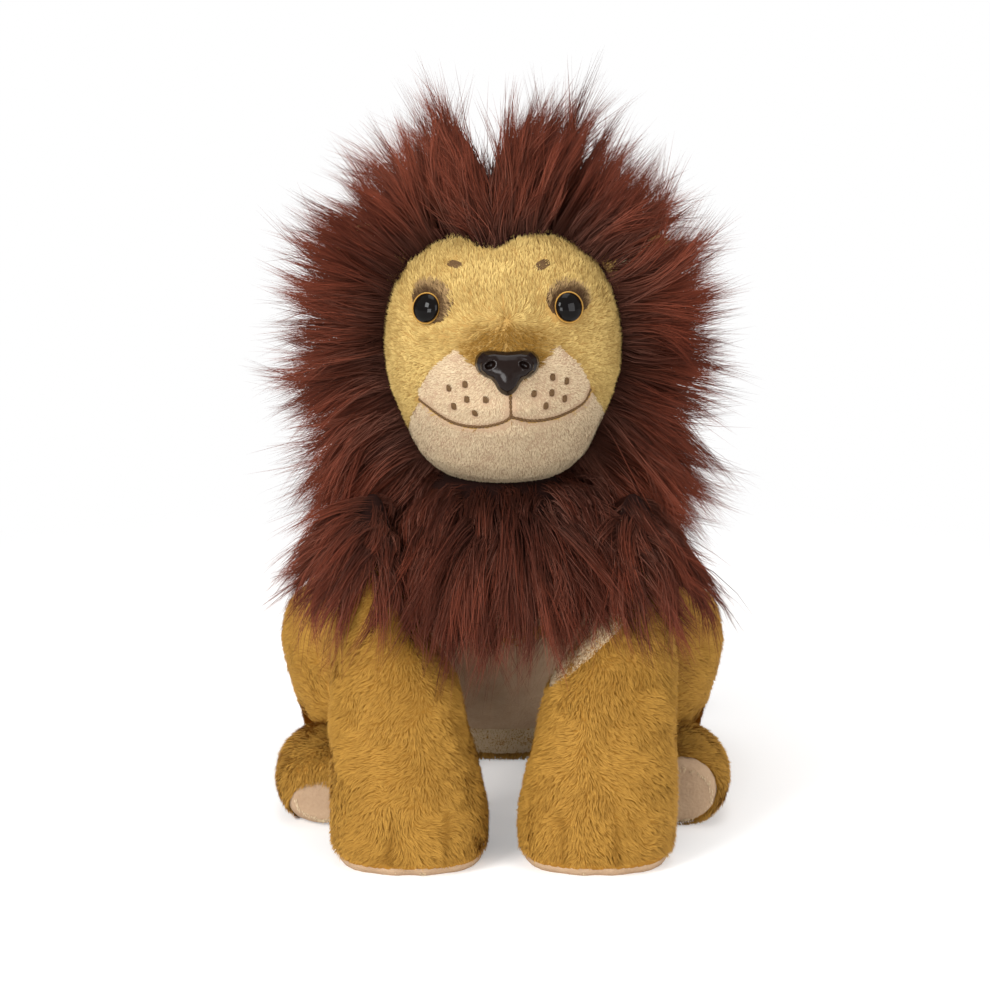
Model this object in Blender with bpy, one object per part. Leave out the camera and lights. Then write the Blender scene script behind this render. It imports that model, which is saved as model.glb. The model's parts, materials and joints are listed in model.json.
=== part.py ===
"""Seated plush lion, about 29 cm tall.

The lion looks along -Y and sits on +Z up, with the origin at the middle of its flat seat. Left and
right are the lion's own. Stuffed pieces are forms of level rings; panels that are sewn into a form's
surface, such as the muzzle, are let into it by their outline and thickness. All lengths are metres.
"""

import math
from dataclasses import dataclass
from typing import Callable, Optional

import bmesh
import bpy
from mathutils import Euler, Matrix, Vector
from mathutils.bvhtree import BVHTree

# Fits shared by every piece
CLEARANCE = 0.0003
CUT_OVERRUN = 0.012
SIDES = {"left": 1, "right": -1}

# Main sizes, which the other pieces take their places from
BODY_WIDTH = 0.104
BODY_DEPTH = 0.192
NECK_HEIGHT = 0.135
CHEST_FRONT_SHARE = 0.74
CHEST_FRONT = -BODY_DEPTH * CHEST_FRONT_SHARE
RUMP_BACK = CHEST_FRONT + BODY_DEPTH

# Torso: a pear that leans forward from the rump to the neck seam
BELLY_PANEL_THICKNESS = 0.0025
BELLY_PANEL_HALF_WIDTH = 0.046
BELLY_PANEL_TOP = 0.122
BELLY_PANEL_FOOT = 0.018
BELLY_PANEL_REACH = 0.135
BELLY_PANEL_LEAN = 0.075

# Pellet bag in the rump, and the seam that closes over it
BAG_WIDTH = 0.066
BAG_DEPTH = 0.058
BAG_HEIGHT = 0.050
BAG_FLOOR = 0.012
BAG_SETBACK = 0.014
BAG_BACK = RUMP_BACK - BAG_SETBACK
CLOSING_SEAM_WIDTH = 0.040
CLOSING_SEAM_GAP = 0.0008
CLOSING_SEAM_HEIGHT = 0.040

# Front legs, from the soles to the rounded shoulders
FRONT_LEG_HEIGHT = 0.1325
FRONT_LEG_REACH = 0.0627
FRONT_LEG_DEPTH = 0.058
PAW_WIDTH = 0.056
PAW_LEAD = 0.038
PAW_FRONT = CHEST_FRONT - PAW_LEAD
SOLE_THICKNESS = 0.0042
TOE_GROOVE_DEPTH = 0.0022
TOE_GROOVE_WIDTH = 0.0030
TOE_SPACING = 0.0125
TOE_HEIGHT = 0.024

# Hind legs: a thigh on each side of the rump, and a foot that points forward from under it
THIGH_HEIGHT = 0.083
THIGH_REACH = 0.0893
THIGH_WIDTH = 0.0513
THIGH_DEPTH = 0.116
THIGH_SETBACK = 0.058
THIGH_FRONT = CHEST_FRONT + THIGH_SETBACK
FOOT_LENGTH = 0.054
FOOT_WIDTH = 0.038
FOOT_HEIGHT = 0.0335
FOOT_TOP = 0.0315
FOOT_LEAD = 0.032
FOOT_FRONT = THIGH_FRONT - FOOT_LEAD
FOOT_CENTRE = 0.0685
PAD_THICKNESS = 0.0030
PAD_WIDTH = 0.028
PAD_HEIGHT = {"left": 0.025, "right": 0.021}
PAD_CENTRE_HEIGHT = {"left": 0.0145, "right": 0.0085}

# Head, from the neck seam to the crown
HEAD_WIDTH = 0.091
HEAD_DEPTH = 0.085
HEAD_HEIGHT = 0.0975
FACE_SETBACK = 0.006
FACE_FRONT = CHEST_FRONT + FACE_SETBACK
MUZZLE_SWELL_DEPTH = 0.0150
MUZZLE_SPREAD_WIDTH = 0.0200
MUZZLE_SPREAD_HEIGHT = 0.0150
MUZZLE_CENTRE_HEIGHT = 0.0330
BRIDGE_SWELL_DEPTH = 0.0050
BRIDGE_WIDTH = 0.0095
BRIDGE_HEIGHT = 0.0150
BRIDGE_CENTRE_HEIGHT = 0.0610
MUZZLE_THICKNESS = 0.0030
EYE_PATCH_THICKNESS = 0.0018
MUZZLE_PANEL_DEPTH = 0.060

# Eyes: domed plastic with a shank through the cloth and a washer behind it
EYE_DIAMETER = 0.0120
EYE_DOME_HEIGHT = 0.0046
EYE_RIM_THICKNESS = 0.0008
EYE_SHANK_DIAMETER = 0.0040
EYE_SHANK_LENGTH = 0.0120
WASHER_DIAMETER = 0.0140
WASHER_THICKNESS = 0.0014
WASHER_DEPTH = 0.0062
WASHER_FIT = 0.0002

# Nose: a moulded T with two nostrils, held like the eyes
NOSE_WIDTH = 0.0235
NOSE_HEIGHT = 0.0172
NOSE_PROUD = 0.0058
NOSE_ROOT = 0.0060
NOSE_SHANK_LENGTH = 0.0150
NOSTRIL_WIDTH = 0.0046
NOSTRIL_HEIGHT = 0.0030
NOSTRIL_RIM = 0.0014
NOSTRIL_DEPTH = 0.0022

# Stitching
MOUTH_THREAD_DIAMETER = 0.0013
STITCH_LIFT = 0.0005
BROW_STITCH_WIDTH = 0.0019
BROW_STITCH_THICKNESS = 0.0011
WHISKER_DOT_WIDTH = 0.0022
WHISKER_DOT_HEIGHT = 0.0026
WHISKER_DOT_THICKNESS = 0.0010

# Ears, behind the rim of the face
EAR_HEIGHT = 0.0245
EAR_WIDTH = 0.0270
EAR_THICKNESS = 0.0060
EAR_LINING_WIDTH = 0.0190
EAR_LINING_HEIGHT = 0.0160
EAR_LINING_RISE = 0.0040
EAR_LINING_THICKNESS = 0.0016
EAR_SETBACK = 0.036
EAR_BACK = FACE_FRONT + EAR_SETBACK
EAR_POCKET_GAP = 0.0006

# Mane: a ruff round the head above the neck seam, and a collar over the shoulders below it
MANE_HALF_WIDTH = 0.090
MANE_HEIGHT = 0.1995
MANE_TOP = 0.2835
MANE_SETBACK = 0.020
MANE_FRONT = FACE_FRONT + MANE_SETBACK
MANE_DEPTH = 0.099
COLLAR_WIDTH = 0.168
COLLAR_DEPTH = 0.146
COLLAR_LEAD = 0.022
COLLAR_FRONT = CHEST_FRONT - COLLAR_LEAD
COLLAR_HEIGHT = 0.0447
COLLAR_PARTING_SETBACK = 0.047
COLLAR_PARTING = CHEST_FRONT + COLLAR_PARTING_SETBACK
FRINGE_LENGTH = 0.0050

# Tail, lying behind the rump
TAIL_ROOT_RADIUS = 0.0070
TAIL_END_RADIUS = 0.0056
TAIL_TUFT_RADIUS = 0.0105
TAIL_ROOT_HEIGHT = 0.0210
TAIL_LENGTH = 0.080
TAIL_BOW_DEPTH = 0.0300

# Facet counts
RING_SIDES = 26
HEAD_SIDES = 32
MANE_SIDES = 36
TURNED_SIDES = 16
TUBE_SIDES = 12

# Shares along the height, of: middle across, full width, front and back.
TORSO_SHARES = (
    (0.000, 0.0, 0.615, 0.625, 0.885),
    (0.030, 0.0, 0.769, 0.583, 0.932),
    (0.104, 0.0, 0.904, 0.531, 0.979),
    (0.223, 0.0, 0.981, 0.448, 1.000),
    (0.371, 0.0, 1.000, 0.323, 1.000),
    (0.520, 0.0, 0.981, 0.177, 0.958),
    (0.653, 0.0, 0.942, 0.052, 0.885),
    (0.772, 0.0, 0.904, 0.000, 0.802),
    (0.876, 0.0, 0.827, 0.016, 0.719),
    (0.958, 0.0, 0.731, 0.073, 0.625),
    (1.000, 0.0, 0.654, 0.125, 0.573),
)
BAG_SHARES = (
    (0.0, 0.0, 0.72, 0.14, 0.86),
    (0.2, 0.0, 0.94, 0.03, 0.97),
    (0.5, 0.0, 1.00, 0.00, 1.00),
    (0.8, 0.0, 0.84, 0.08, 0.92),
    (1.0, 0.0, 0.50, 0.25, 0.75),
)
FRONT_LEG_SHARES = (
    (0.000, 0.550, 0.911, 0.086, 0.897),
    (0.030, 0.550, 0.982, 0.034, 0.948),
    (0.090, 0.553, 1.002, 0.000, 0.983),
    (0.165, 0.560, 0.993, 0.000, 0.983),
    (0.263, 0.582, 0.946, 0.052, 0.948),
    (0.376, 0.613, 0.873, 0.129, 0.931),
    (0.451, 0.628, 0.836, 0.172, 0.966),
    (0.534, 0.659, 0.763, 0.216, 1.000),
    (0.602, 0.710, 0.640, 0.266, 1.052),
    (0.677, 0.770, 0.490, 0.350, 1.103),
    (0.782, 0.800, 0.390, 0.480, 1.172),
    (0.887, 0.800, 0.290, 0.660, 1.207),
    (1.000, 0.774, 0.200, 0.850, 1.138),
)
THIGH_SHARES = (
    (0.000, 0.638, 0.663, 0.069, 0.810),
    (0.120, 0.644, 0.760, 0.034, 0.897),
    (0.272, 0.658, 0.809, 0.000, 0.966),
    (0.482, 0.694, 0.936, 0.009, 1.000),
    (0.682, 0.713, 1.000, 0.052, 0.966),
    (0.819, 0.705, 0.920, 0.103, 0.897),
    (0.934, 0.680, 0.740, 0.180, 0.800),
    (1.000, 0.661, 0.520, 0.300, 0.680),
)
FOOT_SHARES = (
    (0.000, 0.0, 0.632, 0.224, 0.851),
    (0.056, 0.0, 0.816, 0.134, 0.925),
    (0.185, 0.0, 0.947, 0.060, 0.985),
    (0.481, 0.0, 1.000, 0.000, 1.000),
    (0.741, 0.0, 0.960, 0.015, 1.000),
    (1.000, 0.0, 0.800, 0.120, 0.920),
)
HEAD_SHARES = (
    (0.000, 0.0, 0.462, 0.259, 0.800),
    (0.026, 0.0, 0.549, 0.188, 0.847),
    (0.062, 0.0, 0.637, 0.129, 0.882),
    (0.103, 0.0, 0.714, 0.094, 0.906),
    (0.147, 0.0, 0.760, 0.071, 0.929),
    (0.226, 0.0, 0.832, 0.041, 0.959),
    (0.359, 0.0, 0.945, 0.012, 0.988),
    (0.513, 0.0, 1.000, 0.000, 1.000),
    (0.667, 0.0, 0.978, 0.006, 0.988),
    (0.800, 0.0, 0.900, 0.035, 0.950),
    (0.900, 0.0, 0.790, 0.095, 0.880),
    (1.000, 0.0, 0.640, 0.170, 0.800),
)
EAR_SHARES = (
    (0.00, 0.0, 0.72, 0.00, 1.00),
    (0.25, 0.0, 0.90, 0.00, 1.00),
    (0.50, 0.0, 1.00, 0.02, 0.98),
    (0.75, 0.0, 0.92, 0.06, 0.94),
    (1.00, 0.0, 0.78, 0.12, 0.88),
)
MANE_SHARES = (
    (0.000, 0.0, 0.600, 0.228, 0.779),
    (0.051, 0.0, 0.778, 0.138, 0.880),
    (0.141, 0.0, 0.922, 0.048, 0.960),
    (0.283, 0.0, 1.000, 0.000, 1.000),
    (0.465, 0.0, 0.978, 0.008, 1.000),
    (0.667, 0.0, 0.833, 0.078, 0.960),
    (0.838, 0.0, 0.640, 0.190, 0.870),
    (1.000, 0.0, 0.500, 0.300, 0.719),
)
COLLAR_SHARES = (
    (0.000, 0.0, 0.595, 0.068, 0.836),
    (0.134, 0.0, 0.714, 0.007, 0.904),
    (0.336, 0.0, 0.810, 0.000, 0.952),
    (0.626, 0.0, 0.917, 0.055, 0.986),
    (1.000, 0.0, 1.000, 0.164, 1.000),
)

# Places on the face, as shares of half the head's width and of its height
MUZZLE_CENTRE_SHARES = (0.055, 0.441)
MOUTH_RUN_SHARES = {
    "right": ((0.062, 0.319), (-0.020, 0.295), (-0.211, 0.273), (-0.435, 0.282), (-0.686, 0.346)),
    "left": ((0.062, 0.319), (0.237, 0.296), (0.446, 0.299), (0.646, 0.333), (0.714, 0.384)),
}
MUZZLE_EDGE_SHARES = {
    "right": ((-0.686, 0.346), (-0.677, 0.390), (-0.558, 0.480), (-0.363, 0.562)),
    "left": ((0.714, 0.384), (0.695, 0.415), (0.593, 0.498), (0.420, 0.577)),
}
MUZZLE_INNER_SHARES = {
    "right": ((-0.363, 0.562), (-0.226, 0.508), (0.055, 0.441)),
    "left": ((0.420, 0.577), (0.290, 0.513), (0.055, 0.441)),
}
CHIN_SIDE_SHARES = {"right": (-0.747, 0.269), "left": (0.818, 0.292)}
CHIN_UNDER_SHARES = {"right": (-0.860, 0.050), "left": (0.900, 0.050)}
CHIN_BELOW_SHARE = -0.100
EYE_SHARES = {"right": (-0.613, 0.693), "left": (0.521, 0.701)}
EYE_PATCH_SHARES = {"right": (-0.560, 0.722), "left": (0.525, 0.737)}
EYE_PATCH_SIZE_SHARES = {"right": (0.175, 0.084), "left": (0.190, 0.080)}
BROW_SHARES = {"right": ((-0.435, 0.868), (-0.347, 0.844)), "left": ((0.358, 0.875), (0.270, 0.837))}
NOSE_PLACE_SHARES = (0.031, 0.482)
PHILTRUM_SHARES = ((0.055, 0.400), (0.058, 0.366), (0.062, 0.334))
WHISKER_SHARES = {
    "right": (
        (-0.435, 0.411),
        (-0.305, 0.433),
        (-0.290, 0.378),
        (-0.138, 0.384),
        (-0.396, 0.345),
        (-0.226, 0.329),
    ),
    "left": (
        (0.396, 0.454),
        (0.510, 0.432),
        (0.244, 0.402),
        (0.389, 0.396),
        (0.495, 0.366),
        (0.341, 0.350),
    ),
}
BELLY_OUTLINE_SHARES = (
    (0.42, 0.00),
    (0.50, 0.30),
    (0.66, 0.52),
    (0.90, 0.70),
    (0.96, 0.80),
    (0.90, 0.92),
    (0.78, 1.00),
)
NOSE_OUTLINE_SHARES = (
    (0.00, 0.97),
    (0.28, 0.985),
    (0.50, 1.00),
    (0.80, 0.97),
    (0.96, 0.86),
    (1.00, 0.71),
    (0.92, 0.55),
    (0.72, 0.43),
    (0.52, 0.375),
    (0.41, 0.28),
    (0.31, 0.145),
    (0.17, 0.045),
    (0.00, 0.00),
)
NOSE_LAYER_SHARES = ((1.00, 0.00), (1.00, 0.30), (0.93, 0.62), (0.76, 0.86), (0.48, 0.97), (0.20, 1.00))
NOSTRIL_PLACE_SHARES = (0.53, 0.66)
NOSTRIL_TILT_DEGREES = 28.0
NOSE_TILT_DEGREES = 12.0
EAR_LEAN_DEGREES = 55.0
LOCK_DEPTH_SHARE = 0.030
BODY_SQUARENESS_SHARE = 0.09
PAW_SQUARENESS_SHARE = 0.13
TAIL_PATH_SHARES = (
    (0.00, 0.00, 1.00),
    (0.04, 0.36, 0.66),
    (0.18, 0.78, 0.42),
    (0.40, 0.96, 0.37),
    (0.63, 0.83, 0.37),
    (0.83, 0.50, 0.42),
    (1.00, 0.08, 0.52),
)
TAIL_TUFT_START_SHARE = 0.66
TAIL_RADIUS_SHARES = ((0.00, 0.98), (0.20, 1.00), (1.00, 1.00))
TUFT_RADIUS_SHARES = ((0.00, 0.56), (0.25, 0.90), (0.55, 1.00), (0.80, 0.72), (1.00, 0.20))
TAIL_GAP_SHARE = 0.0030

PLUSH_GOLD = (0.52, 0.31, 0.09)
FACE_GOLD = (0.72, 0.48, 0.17)
CREAM = (0.72, 0.54, 0.35)
MANE_BROWN = (0.075, 0.020, 0.013)
PATCH_BROWN = (0.22, 0.13, 0.07)
THREAD_BROWN = (0.13, 0.065, 0.028)
NOSE_BLACK = (0.020, 0.013, 0.011)
EYE_BLACK = (0.008, 0.007, 0.006)
WASHER_WHITE = (0.75, 0.74, 0.70)
BAG_WHITE = (0.80, 0.79, 0.76)
CLOTH_ROUGHNESS = 0.90
PLASTIC_ROUGHNESS = 0.15


def smooth_row(table, share):
    """One row of a table of shares, eased between its stations; the first column runs along it."""
    last = len(table) - 1
    index = 0
    while index < last - 1 and share > table[index + 1][0]:
        index += 1
    before = table[max(index - 1, 0)]
    lower = table[index]
    upper = table[index + 1]
    after = table[min(index + 2, last)]
    span = upper[0] - lower[0]
    t = (share - lower[0]) / span
    row = []
    for column in range(1, len(lower)):
        slope_in = (upper[column] - before[column]) / (upper[0] - before[0]) * span
        slope_out = (after[column] - lower[column]) / (after[0] - lower[0]) * span
        keep = lower[column] * (2 * t**3 - 3 * t**2 + 1) + upper[column] * (3 * t**2 - 2 * t**3)
        row.append(keep + slope_in * (t**3 - 2 * t**2 + t) + slope_out * (t**3 - t**2))
    return row


def smooth_run(points, steps):
    """Points of a smooth open line through the given ones, with a number of steps to each span."""
    table = [(index, *point) for index, point in enumerate(points)]
    count = (len(points) - 1) * steps
    return [Vector(smooth_row(table, index / steps)) for index in range(count + 1)]


def bump(offset, width):
    """A bell that is 1 at no offset."""
    return math.exp(-0.5 * (offset / width) ** 2)


@dataclass(frozen=True)
class Form:
    """A stuffed form: level rings up its height, then turned and placed.

    A dome share rounds off that share of the height at an end, and an end without one is flat.
    """

    shares: tuple
    height: float
    width: float
    depth: float
    reach: float = 0.0
    side: int = 1
    place: Vector = Vector()
    turn: Euler = Euler()
    sides: int = RING_SIDES
    rows: int = 14
    foot_dome_share: float = 0.0
    top_dome_share: float = 0.0
    front_bias: float = 0.0
    squareness_share: float = 0.0
    lock_share: float = 0.0
    fringe: float = 0.0
    floor: Optional[float] = None
    swell: Optional[Callable] = None

    def dome(self, share):
        """How much of its full size a ring keeps near a domed end."""
        kept = 1.0
        if self.foot_dome_share and share < self.foot_dome_share:
            kept = math.sqrt(max(0.0, 1 - (1 - share / self.foot_dome_share) ** 2))
        if self.top_dome_share and 1 - share < self.top_dome_share:
            kept *= math.sqrt(max(0.0, 1 - (1 - (1 - share) / self.top_dome_share) ** 2))
        return kept

    def ring(self, share, shrink=0.0):
        """The points of one level ring, or a single point at a domed end."""
        middle, width, front, back = smooth_row(self.shares, share)
        kept = self.dome(share)
        rise = shrink + share * (self.height - 2 * shrink)
        centre = Vector((self.side * middle * self.reach, (front + back) / 2 * self.depth, rise))
        if kept < 1e-6:
            return [centre]
        half_width = (width * self.width / 2 - shrink) * kept
        half_depth = ((back - front) / 2 * self.depth - shrink) * kept
        points = []
        for index in range(self.sides):
            turn = 2 * math.pi * index / self.sides
            angle = turn - self.front_bias * math.sin(turn)
            lock = 1 + self.lock_share * (-1) ** index
            power = 1 - self.squareness_share
            across = math.copysign(abs(math.sin(angle)) ** power, math.sin(angle))
            along = math.copysign(abs(math.cos(angle)) ** power, math.cos(angle))
            drop = self.fringe * (-1) ** index * (1 - share)
            spoke = Vector((self.side * across * half_width, -along * half_depth, 0))
            points.append(centre + spoke * lock + Vector((0, 0, drop)))
        return points

    def solid(self, grow=0.0):
        """The closed mesh of the form, with its surface moved out by grow, or in by its rings."""
        mesh = bmesh.new()
        rings = []
        for row in range(self.rows + 1):
            share = (1 - math.cos(math.pi * row / self.rows)) / 2
            rings.append([mesh.verts.new(point) for point in self.ring(share, max(0.0, -grow))])
        for lower, upper in zip(rings, rings[1:]):
            count = max(len(lower), len(upper))
            for index in range(count):
                after = (index + 1) % count
                corners = [lower[index % len(lower)], lower[after % len(lower)]]
                corners += [upper[after % len(upper)], upper[index % len(upper)]]
                mesh.faces.new(list(dict.fromkeys(corners)))
        caps = [mesh.faces.new(end) for end in (rings[0], rings[-1]) if len(end) > 1]
        if self.fringe:
            bmesh.ops.poke(mesh, faces=caps)
        if self.swell:
            for vertex in mesh.verts:
                vertex.co += self.swell(vertex.co)
        quads = [face for face in mesh.faces if len(face.verts) == 4]
        bmesh.ops.triangulate(mesh, faces=quads, quad_method="FIXED")
        bmesh.ops.recalc_face_normals(mesh, faces=mesh.faces)
        mesh.normal_update()
        for vertex in mesh.verts:
            vertex.co += vertex.normal * max(0.0, grow)
        mesh.transform(Matrix.Translation(self.place) @ self.turn.to_matrix().to_4x4())
        if self.floor is not None:
            for vertex in mesh.verts:
                vertex.co.z = max(vertex.co.z, self.floor - grow)
        return mesh


def finish(name, colour, roughness, metallic=0.0):
    """A plain material."""
    material = bpy.data.materials.new(name)
    material.use_nodes = True
    shader = material.node_tree.nodes["Principled BSDF"]
    shader.inputs["Base Color"].default_value = (*colour, 1.0)
    shader.inputs["Roughness"].default_value = roughness
    shader.inputs["Metallic"].default_value = metallic
    return material


def add_object(name, mesh, material=None):
    """A named object from a bmesh; without a material it is a hidden cutter."""
    bmesh.ops.recalc_face_normals(mesh, faces=mesh.faces)
    data = bpy.data.meshes.new(name)
    mesh.to_mesh(data)
    mesh.free()
    data.shade_smooth()
    data.set_sharp_from_angle(angle=math.radians(40.0))
    made = bpy.data.objects.new(name, data)
    bpy.context.scene.collection.objects.link(made)
    if material:
        data.materials.append(material)
    else:
        made.hide_render = True
        made.display_type = "WIRE"
    return made


def combine(target, other, operation):
    """An exact Boolean of two objects, kept as a modifier."""
    modifier = target.modifiers.new(f"{operation.lower()}_{other.name}", "BOOLEAN")
    modifier.operation = operation
    modifier.solver = "EXACT"
    modifier.object = other


def cut(target, *rooms):
    """Takes each room out of a piece."""
    for room in rooms:
        combine(target, room, "DIFFERENCE")


def prism(outline, near, far, grow=0.0):
    """An outline in X and Z, run along Y from near to far."""
    mesh = bmesh.new()
    face = mesh.faces.new([mesh.verts.new((x, near, z)) for x, z in outline])
    run = bmesh.ops.extrude_face_region(mesh, geom=[face])
    moved = [item for item in run["geom"] if isinstance(item, bmesh.types.BMVert)]
    bmesh.ops.translate(mesh, verts=moved, vec=(0, far - near, 0))
    bmesh.ops.recalc_face_normals(mesh, faces=mesh.faces)
    mesh.normal_update()
    for vertex in mesh.verts:
        vertex.co += vertex.normal * grow
    return mesh


def block(low, high):
    """A box from its lowest to its highest corner."""
    mesh = bmesh.new()
    bmesh.ops.create_cube(mesh, size=1.0)
    low = Vector(low)
    high = Vector(high)
    for vertex in mesh.verts:
        vertex.co = (low + high) / 2 + Vector(a * b for a, b in zip(vertex.co, high - low))
    return mesh


def turned(profile, place, direction, sides=TURNED_SIDES):
    """A profile of (radius, height) pairs, spun about the line that leaves place in direction."""
    mesh = bmesh.new()
    points = [mesh.verts.new((radius, 0, height)) for radius, height in profile]
    lines = [mesh.edges.new(pair) for pair in zip(points, points[1:])]
    if profile[0][0] > 0:
        lines.append(mesh.edges.new((points[-1], points[0])))
    bmesh.ops.spin(
        mesh,
        geom=points + lines,
        cent=(0, 0, 0),
        axis=(0, 0, 1),
        angle=2 * math.pi,
        steps=sides,
        use_merge=True,
    )
    bmesh.ops.remove_doubles(mesh, verts=mesh.verts, dist=1e-6)
    lean = Vector((0, 0, 1)).rotation_difference(direction).to_matrix().to_4x4()
    mesh.transform(Matrix.Translation(place) @ lean)
    return mesh


def tube(path, radii, sides=TUBE_SIDES, floor=None):
    """A solid tube of changing radius along a path, with flat ends."""
    mesh = bmesh.new()
    rings = []
    for index, (point, radius) in enumerate(zip(path, radii)):
        ahead = path[min(index + 1, len(path) - 1)] - path[max(index - 1, 0)]
        across = ahead.cross(Vector((0, 0, 1)))
        if across.length < 1e-9:
            across = Vector((1, 0, 0))
        across.normalize()
        up = across.cross(ahead.normalized())
        turns = [2 * math.pi * side / sides for side in range(sides)]
        ring = [point + (across * math.cos(t) + up * math.sin(t)) * radius for t in turns]
        rings.append([mesh.verts.new(place) for place in ring])
    for lower, upper in zip(rings, rings[1:]):
        for side in range(sides):
            after = (side + 1) % sides
            mesh.faces.new((lower[side], lower[after], upper[after], upper[side]))
    mesh.faces.new(rings[0])
    mesh.faces.new(rings[-1])
    if floor is not None:
        for vertex in mesh.verts:
            vertex.co.z = max(vertex.co.z, floor)
    return mesh


@dataclass
class Surface:
    """A form's outer surface, to seat small pieces on."""

    form: Form

    def touch(self, x, z, grow=0.0):
        """Where a line along +Y first meets the form, and the surface's outward direction there."""
        mesh = self.form.solid(grow)
        bmesh.ops.triangulate(mesh, faces=mesh.faces)
        tree = BVHTree.FromBMesh(mesh)
        start = Vector((x, self.form.place.y - self.form.depth, z))
        point, normal, _, _ = tree.ray_cast(start, Vector((0, 1, 0)))
        mesh.free()
        return point, normal


def make_panel(name, form, outline, near, far, thickness, material):
    """A panel let into a form's surface; without a thickness its back is flat, at far."""
    panel = add_object(name, form.solid(), material)
    combine(panel, add_object(f"{name}_outline", prism(outline, near, far, -CLEARANCE / 2)), "INTERSECT")
    if thickness:
        cut(panel, add_object(f"{name}_core", form.solid(-thickness)))
    return panel


def make_room(name, form, outline, near, far, thickness):
    """The room that a form gives to the panels let into it."""
    room = add_object(f"{name}_room", prism(outline, near - CUT_OVERRUN, far, CLEARANCE / 2))
    if thickness:
        cut(room, add_object(f"{name}_room_core", form.solid(-thickness - CLEARANCE)))
    return room


def let_in(name, form, outline, near, far, thickness, material):
    """A panel and its room."""
    panel = make_panel(name, form, outline, near, far, thickness, material)
    return panel, make_room(name, form, outline, near, far, thickness)


def make_torso(cloth, cream, bag_cloth):
    """The body skin and its filling, the belly panel and the pellet bag."""
    form = Form(
        TORSO_SHARES,
        NECK_HEIGHT - CLEARANCE,
        BODY_WIDTH,
        BODY_DEPTH,
        place=Vector((0, CHEST_FRONT, 0)),
        rows=12,
        front_bias=0.2,
        squareness_share=BODY_SQUARENESS_SHARE,
    )
    torso = add_object("torso", form.solid(), cloth)
    # The panel's sides end on a plane that leans forward with the torso
    far = CHEST_FRONT + BELLY_PANEL_REACH
    near = CHEST_FRONT - CUT_OVERRUN
    rises = (0.0, NECK_HEIGHT)
    slope = [(near, rises[0]), (far, rises[0]), (far - BELLY_PANEL_LEAN, rises[1]), (near, rises[1])]
    half = [
        (x * BELLY_PANEL_HALF_WIDTH, BELLY_PANEL_FOOT + z * (BELLY_PANEL_TOP - BELLY_PANEL_FOOT))
        for x, z in BELLY_OUTLINE_SHARES
    ]
    outline = half + [(-x, z) for x, z in reversed(half)]
    panel, room = let_in("belly_panel", form, outline, near, far, BELLY_PANEL_THICKNESS, cream)
    for piece, grow in ((panel, -CLEARANCE / 2), (room, CLEARANCE / 2)):
        front = prism(slope, -BODY_WIDTH, BODY_WIDTH, grow)
        front.transform(Matrix.Rotation(math.pi / 2, 4, "Z"))
        combine(piece, add_object(f"{piece.name}_front", front), "INTERSECT")
    bag_form = Form(
        BAG_SHARES,
        BAG_HEIGHT,
        BAG_WIDTH,
        BAG_DEPTH,
        place=Vector((0, BAG_BACK - BAG_DEPTH, BAG_FLOOR)),
        sides=16,
        rows=6,
    )
    bag = add_object("seat_pellet_bag", bag_form.solid(), bag_cloth)
    bag_room = add_object("bag_room", bag_form.solid(CLEARANCE))
    half_seam = CLOSING_SEAM_WIDTH / 2
    seam = add_object(
        "closing_seam",
        block(
            (-half_seam, BAG_BACK - BAG_DEPTH / 4, CLOSING_SEAM_HEIGHT),
            (half_seam, RUMP_BACK + CUT_OVERRUN, CLOSING_SEAM_HEIGHT + CLOSING_SEAM_GAP),
        ),
    )
    cut(torso, room, bag_room, seam)
    return form, torso, panel, bag


def toe_swell(side):
    """The shallow grooves that the toe stitches pull into a paw's front."""

    def swell(point):
        centre = side * FRONT_LEG_SHARES[0][1] * FRONT_LEG_REACH
        grooves = sum(bump(point.x - centre - toe * TOE_SPACING, TOE_GROOVE_WIDTH) for toe in (-1, 0, 1))
        front = max(0.0, 1 - point.y / (FRONT_LEG_DEPTH / 3))
        low = max(0.0, 1 - point.z / TOE_HEIGHT) ** 0.5
        return Vector((0, TOE_GROOVE_DEPTH * grooves * front * low, 0))

    return swell


def make_front_leg(name, side, torso_room, cloth, cream):
    """A front leg and the sole under its paw."""
    form = Form(
        FRONT_LEG_SHARES,
        FRONT_LEG_HEIGHT,
        PAW_WIDTH,
        FRONT_LEG_DEPTH,
        reach=FRONT_LEG_REACH,
        side=side,
        place=Vector((0, PAW_FRONT, 0)),
        rows=12,
        top_dome_share=0.16,
        front_bias=0.35,
        squareness_share=PAW_SQUARENESS_SHARE,
        swell=toe_swell(side),
    )
    leg = add_object(f"front_leg_{name}", form.solid(), cloth)
    sole = add_object(f"front_sole_{name}", form.solid(), cream)
    half = FRONT_LEG_REACH + PAW_WIDTH
    low = (-half, PAW_FRONT - CUT_OVERRUN, -CUT_OVERRUN)
    high = (half, PAW_FRONT + FRONT_LEG_DEPTH + CUT_OVERRUN, SOLE_THICKNESS)
    slab = add_object(f"sole_slab_{name}", block(low, high))
    sole_slab = add_object(f"sole_room_{name}", block(low, (*high[:2], SOLE_THICKNESS - CLEARANCE)))
    cut(leg, slab, torso_room)
    combine(sole, sole_slab, "INTERSECT")
    return form, leg, sole


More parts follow.
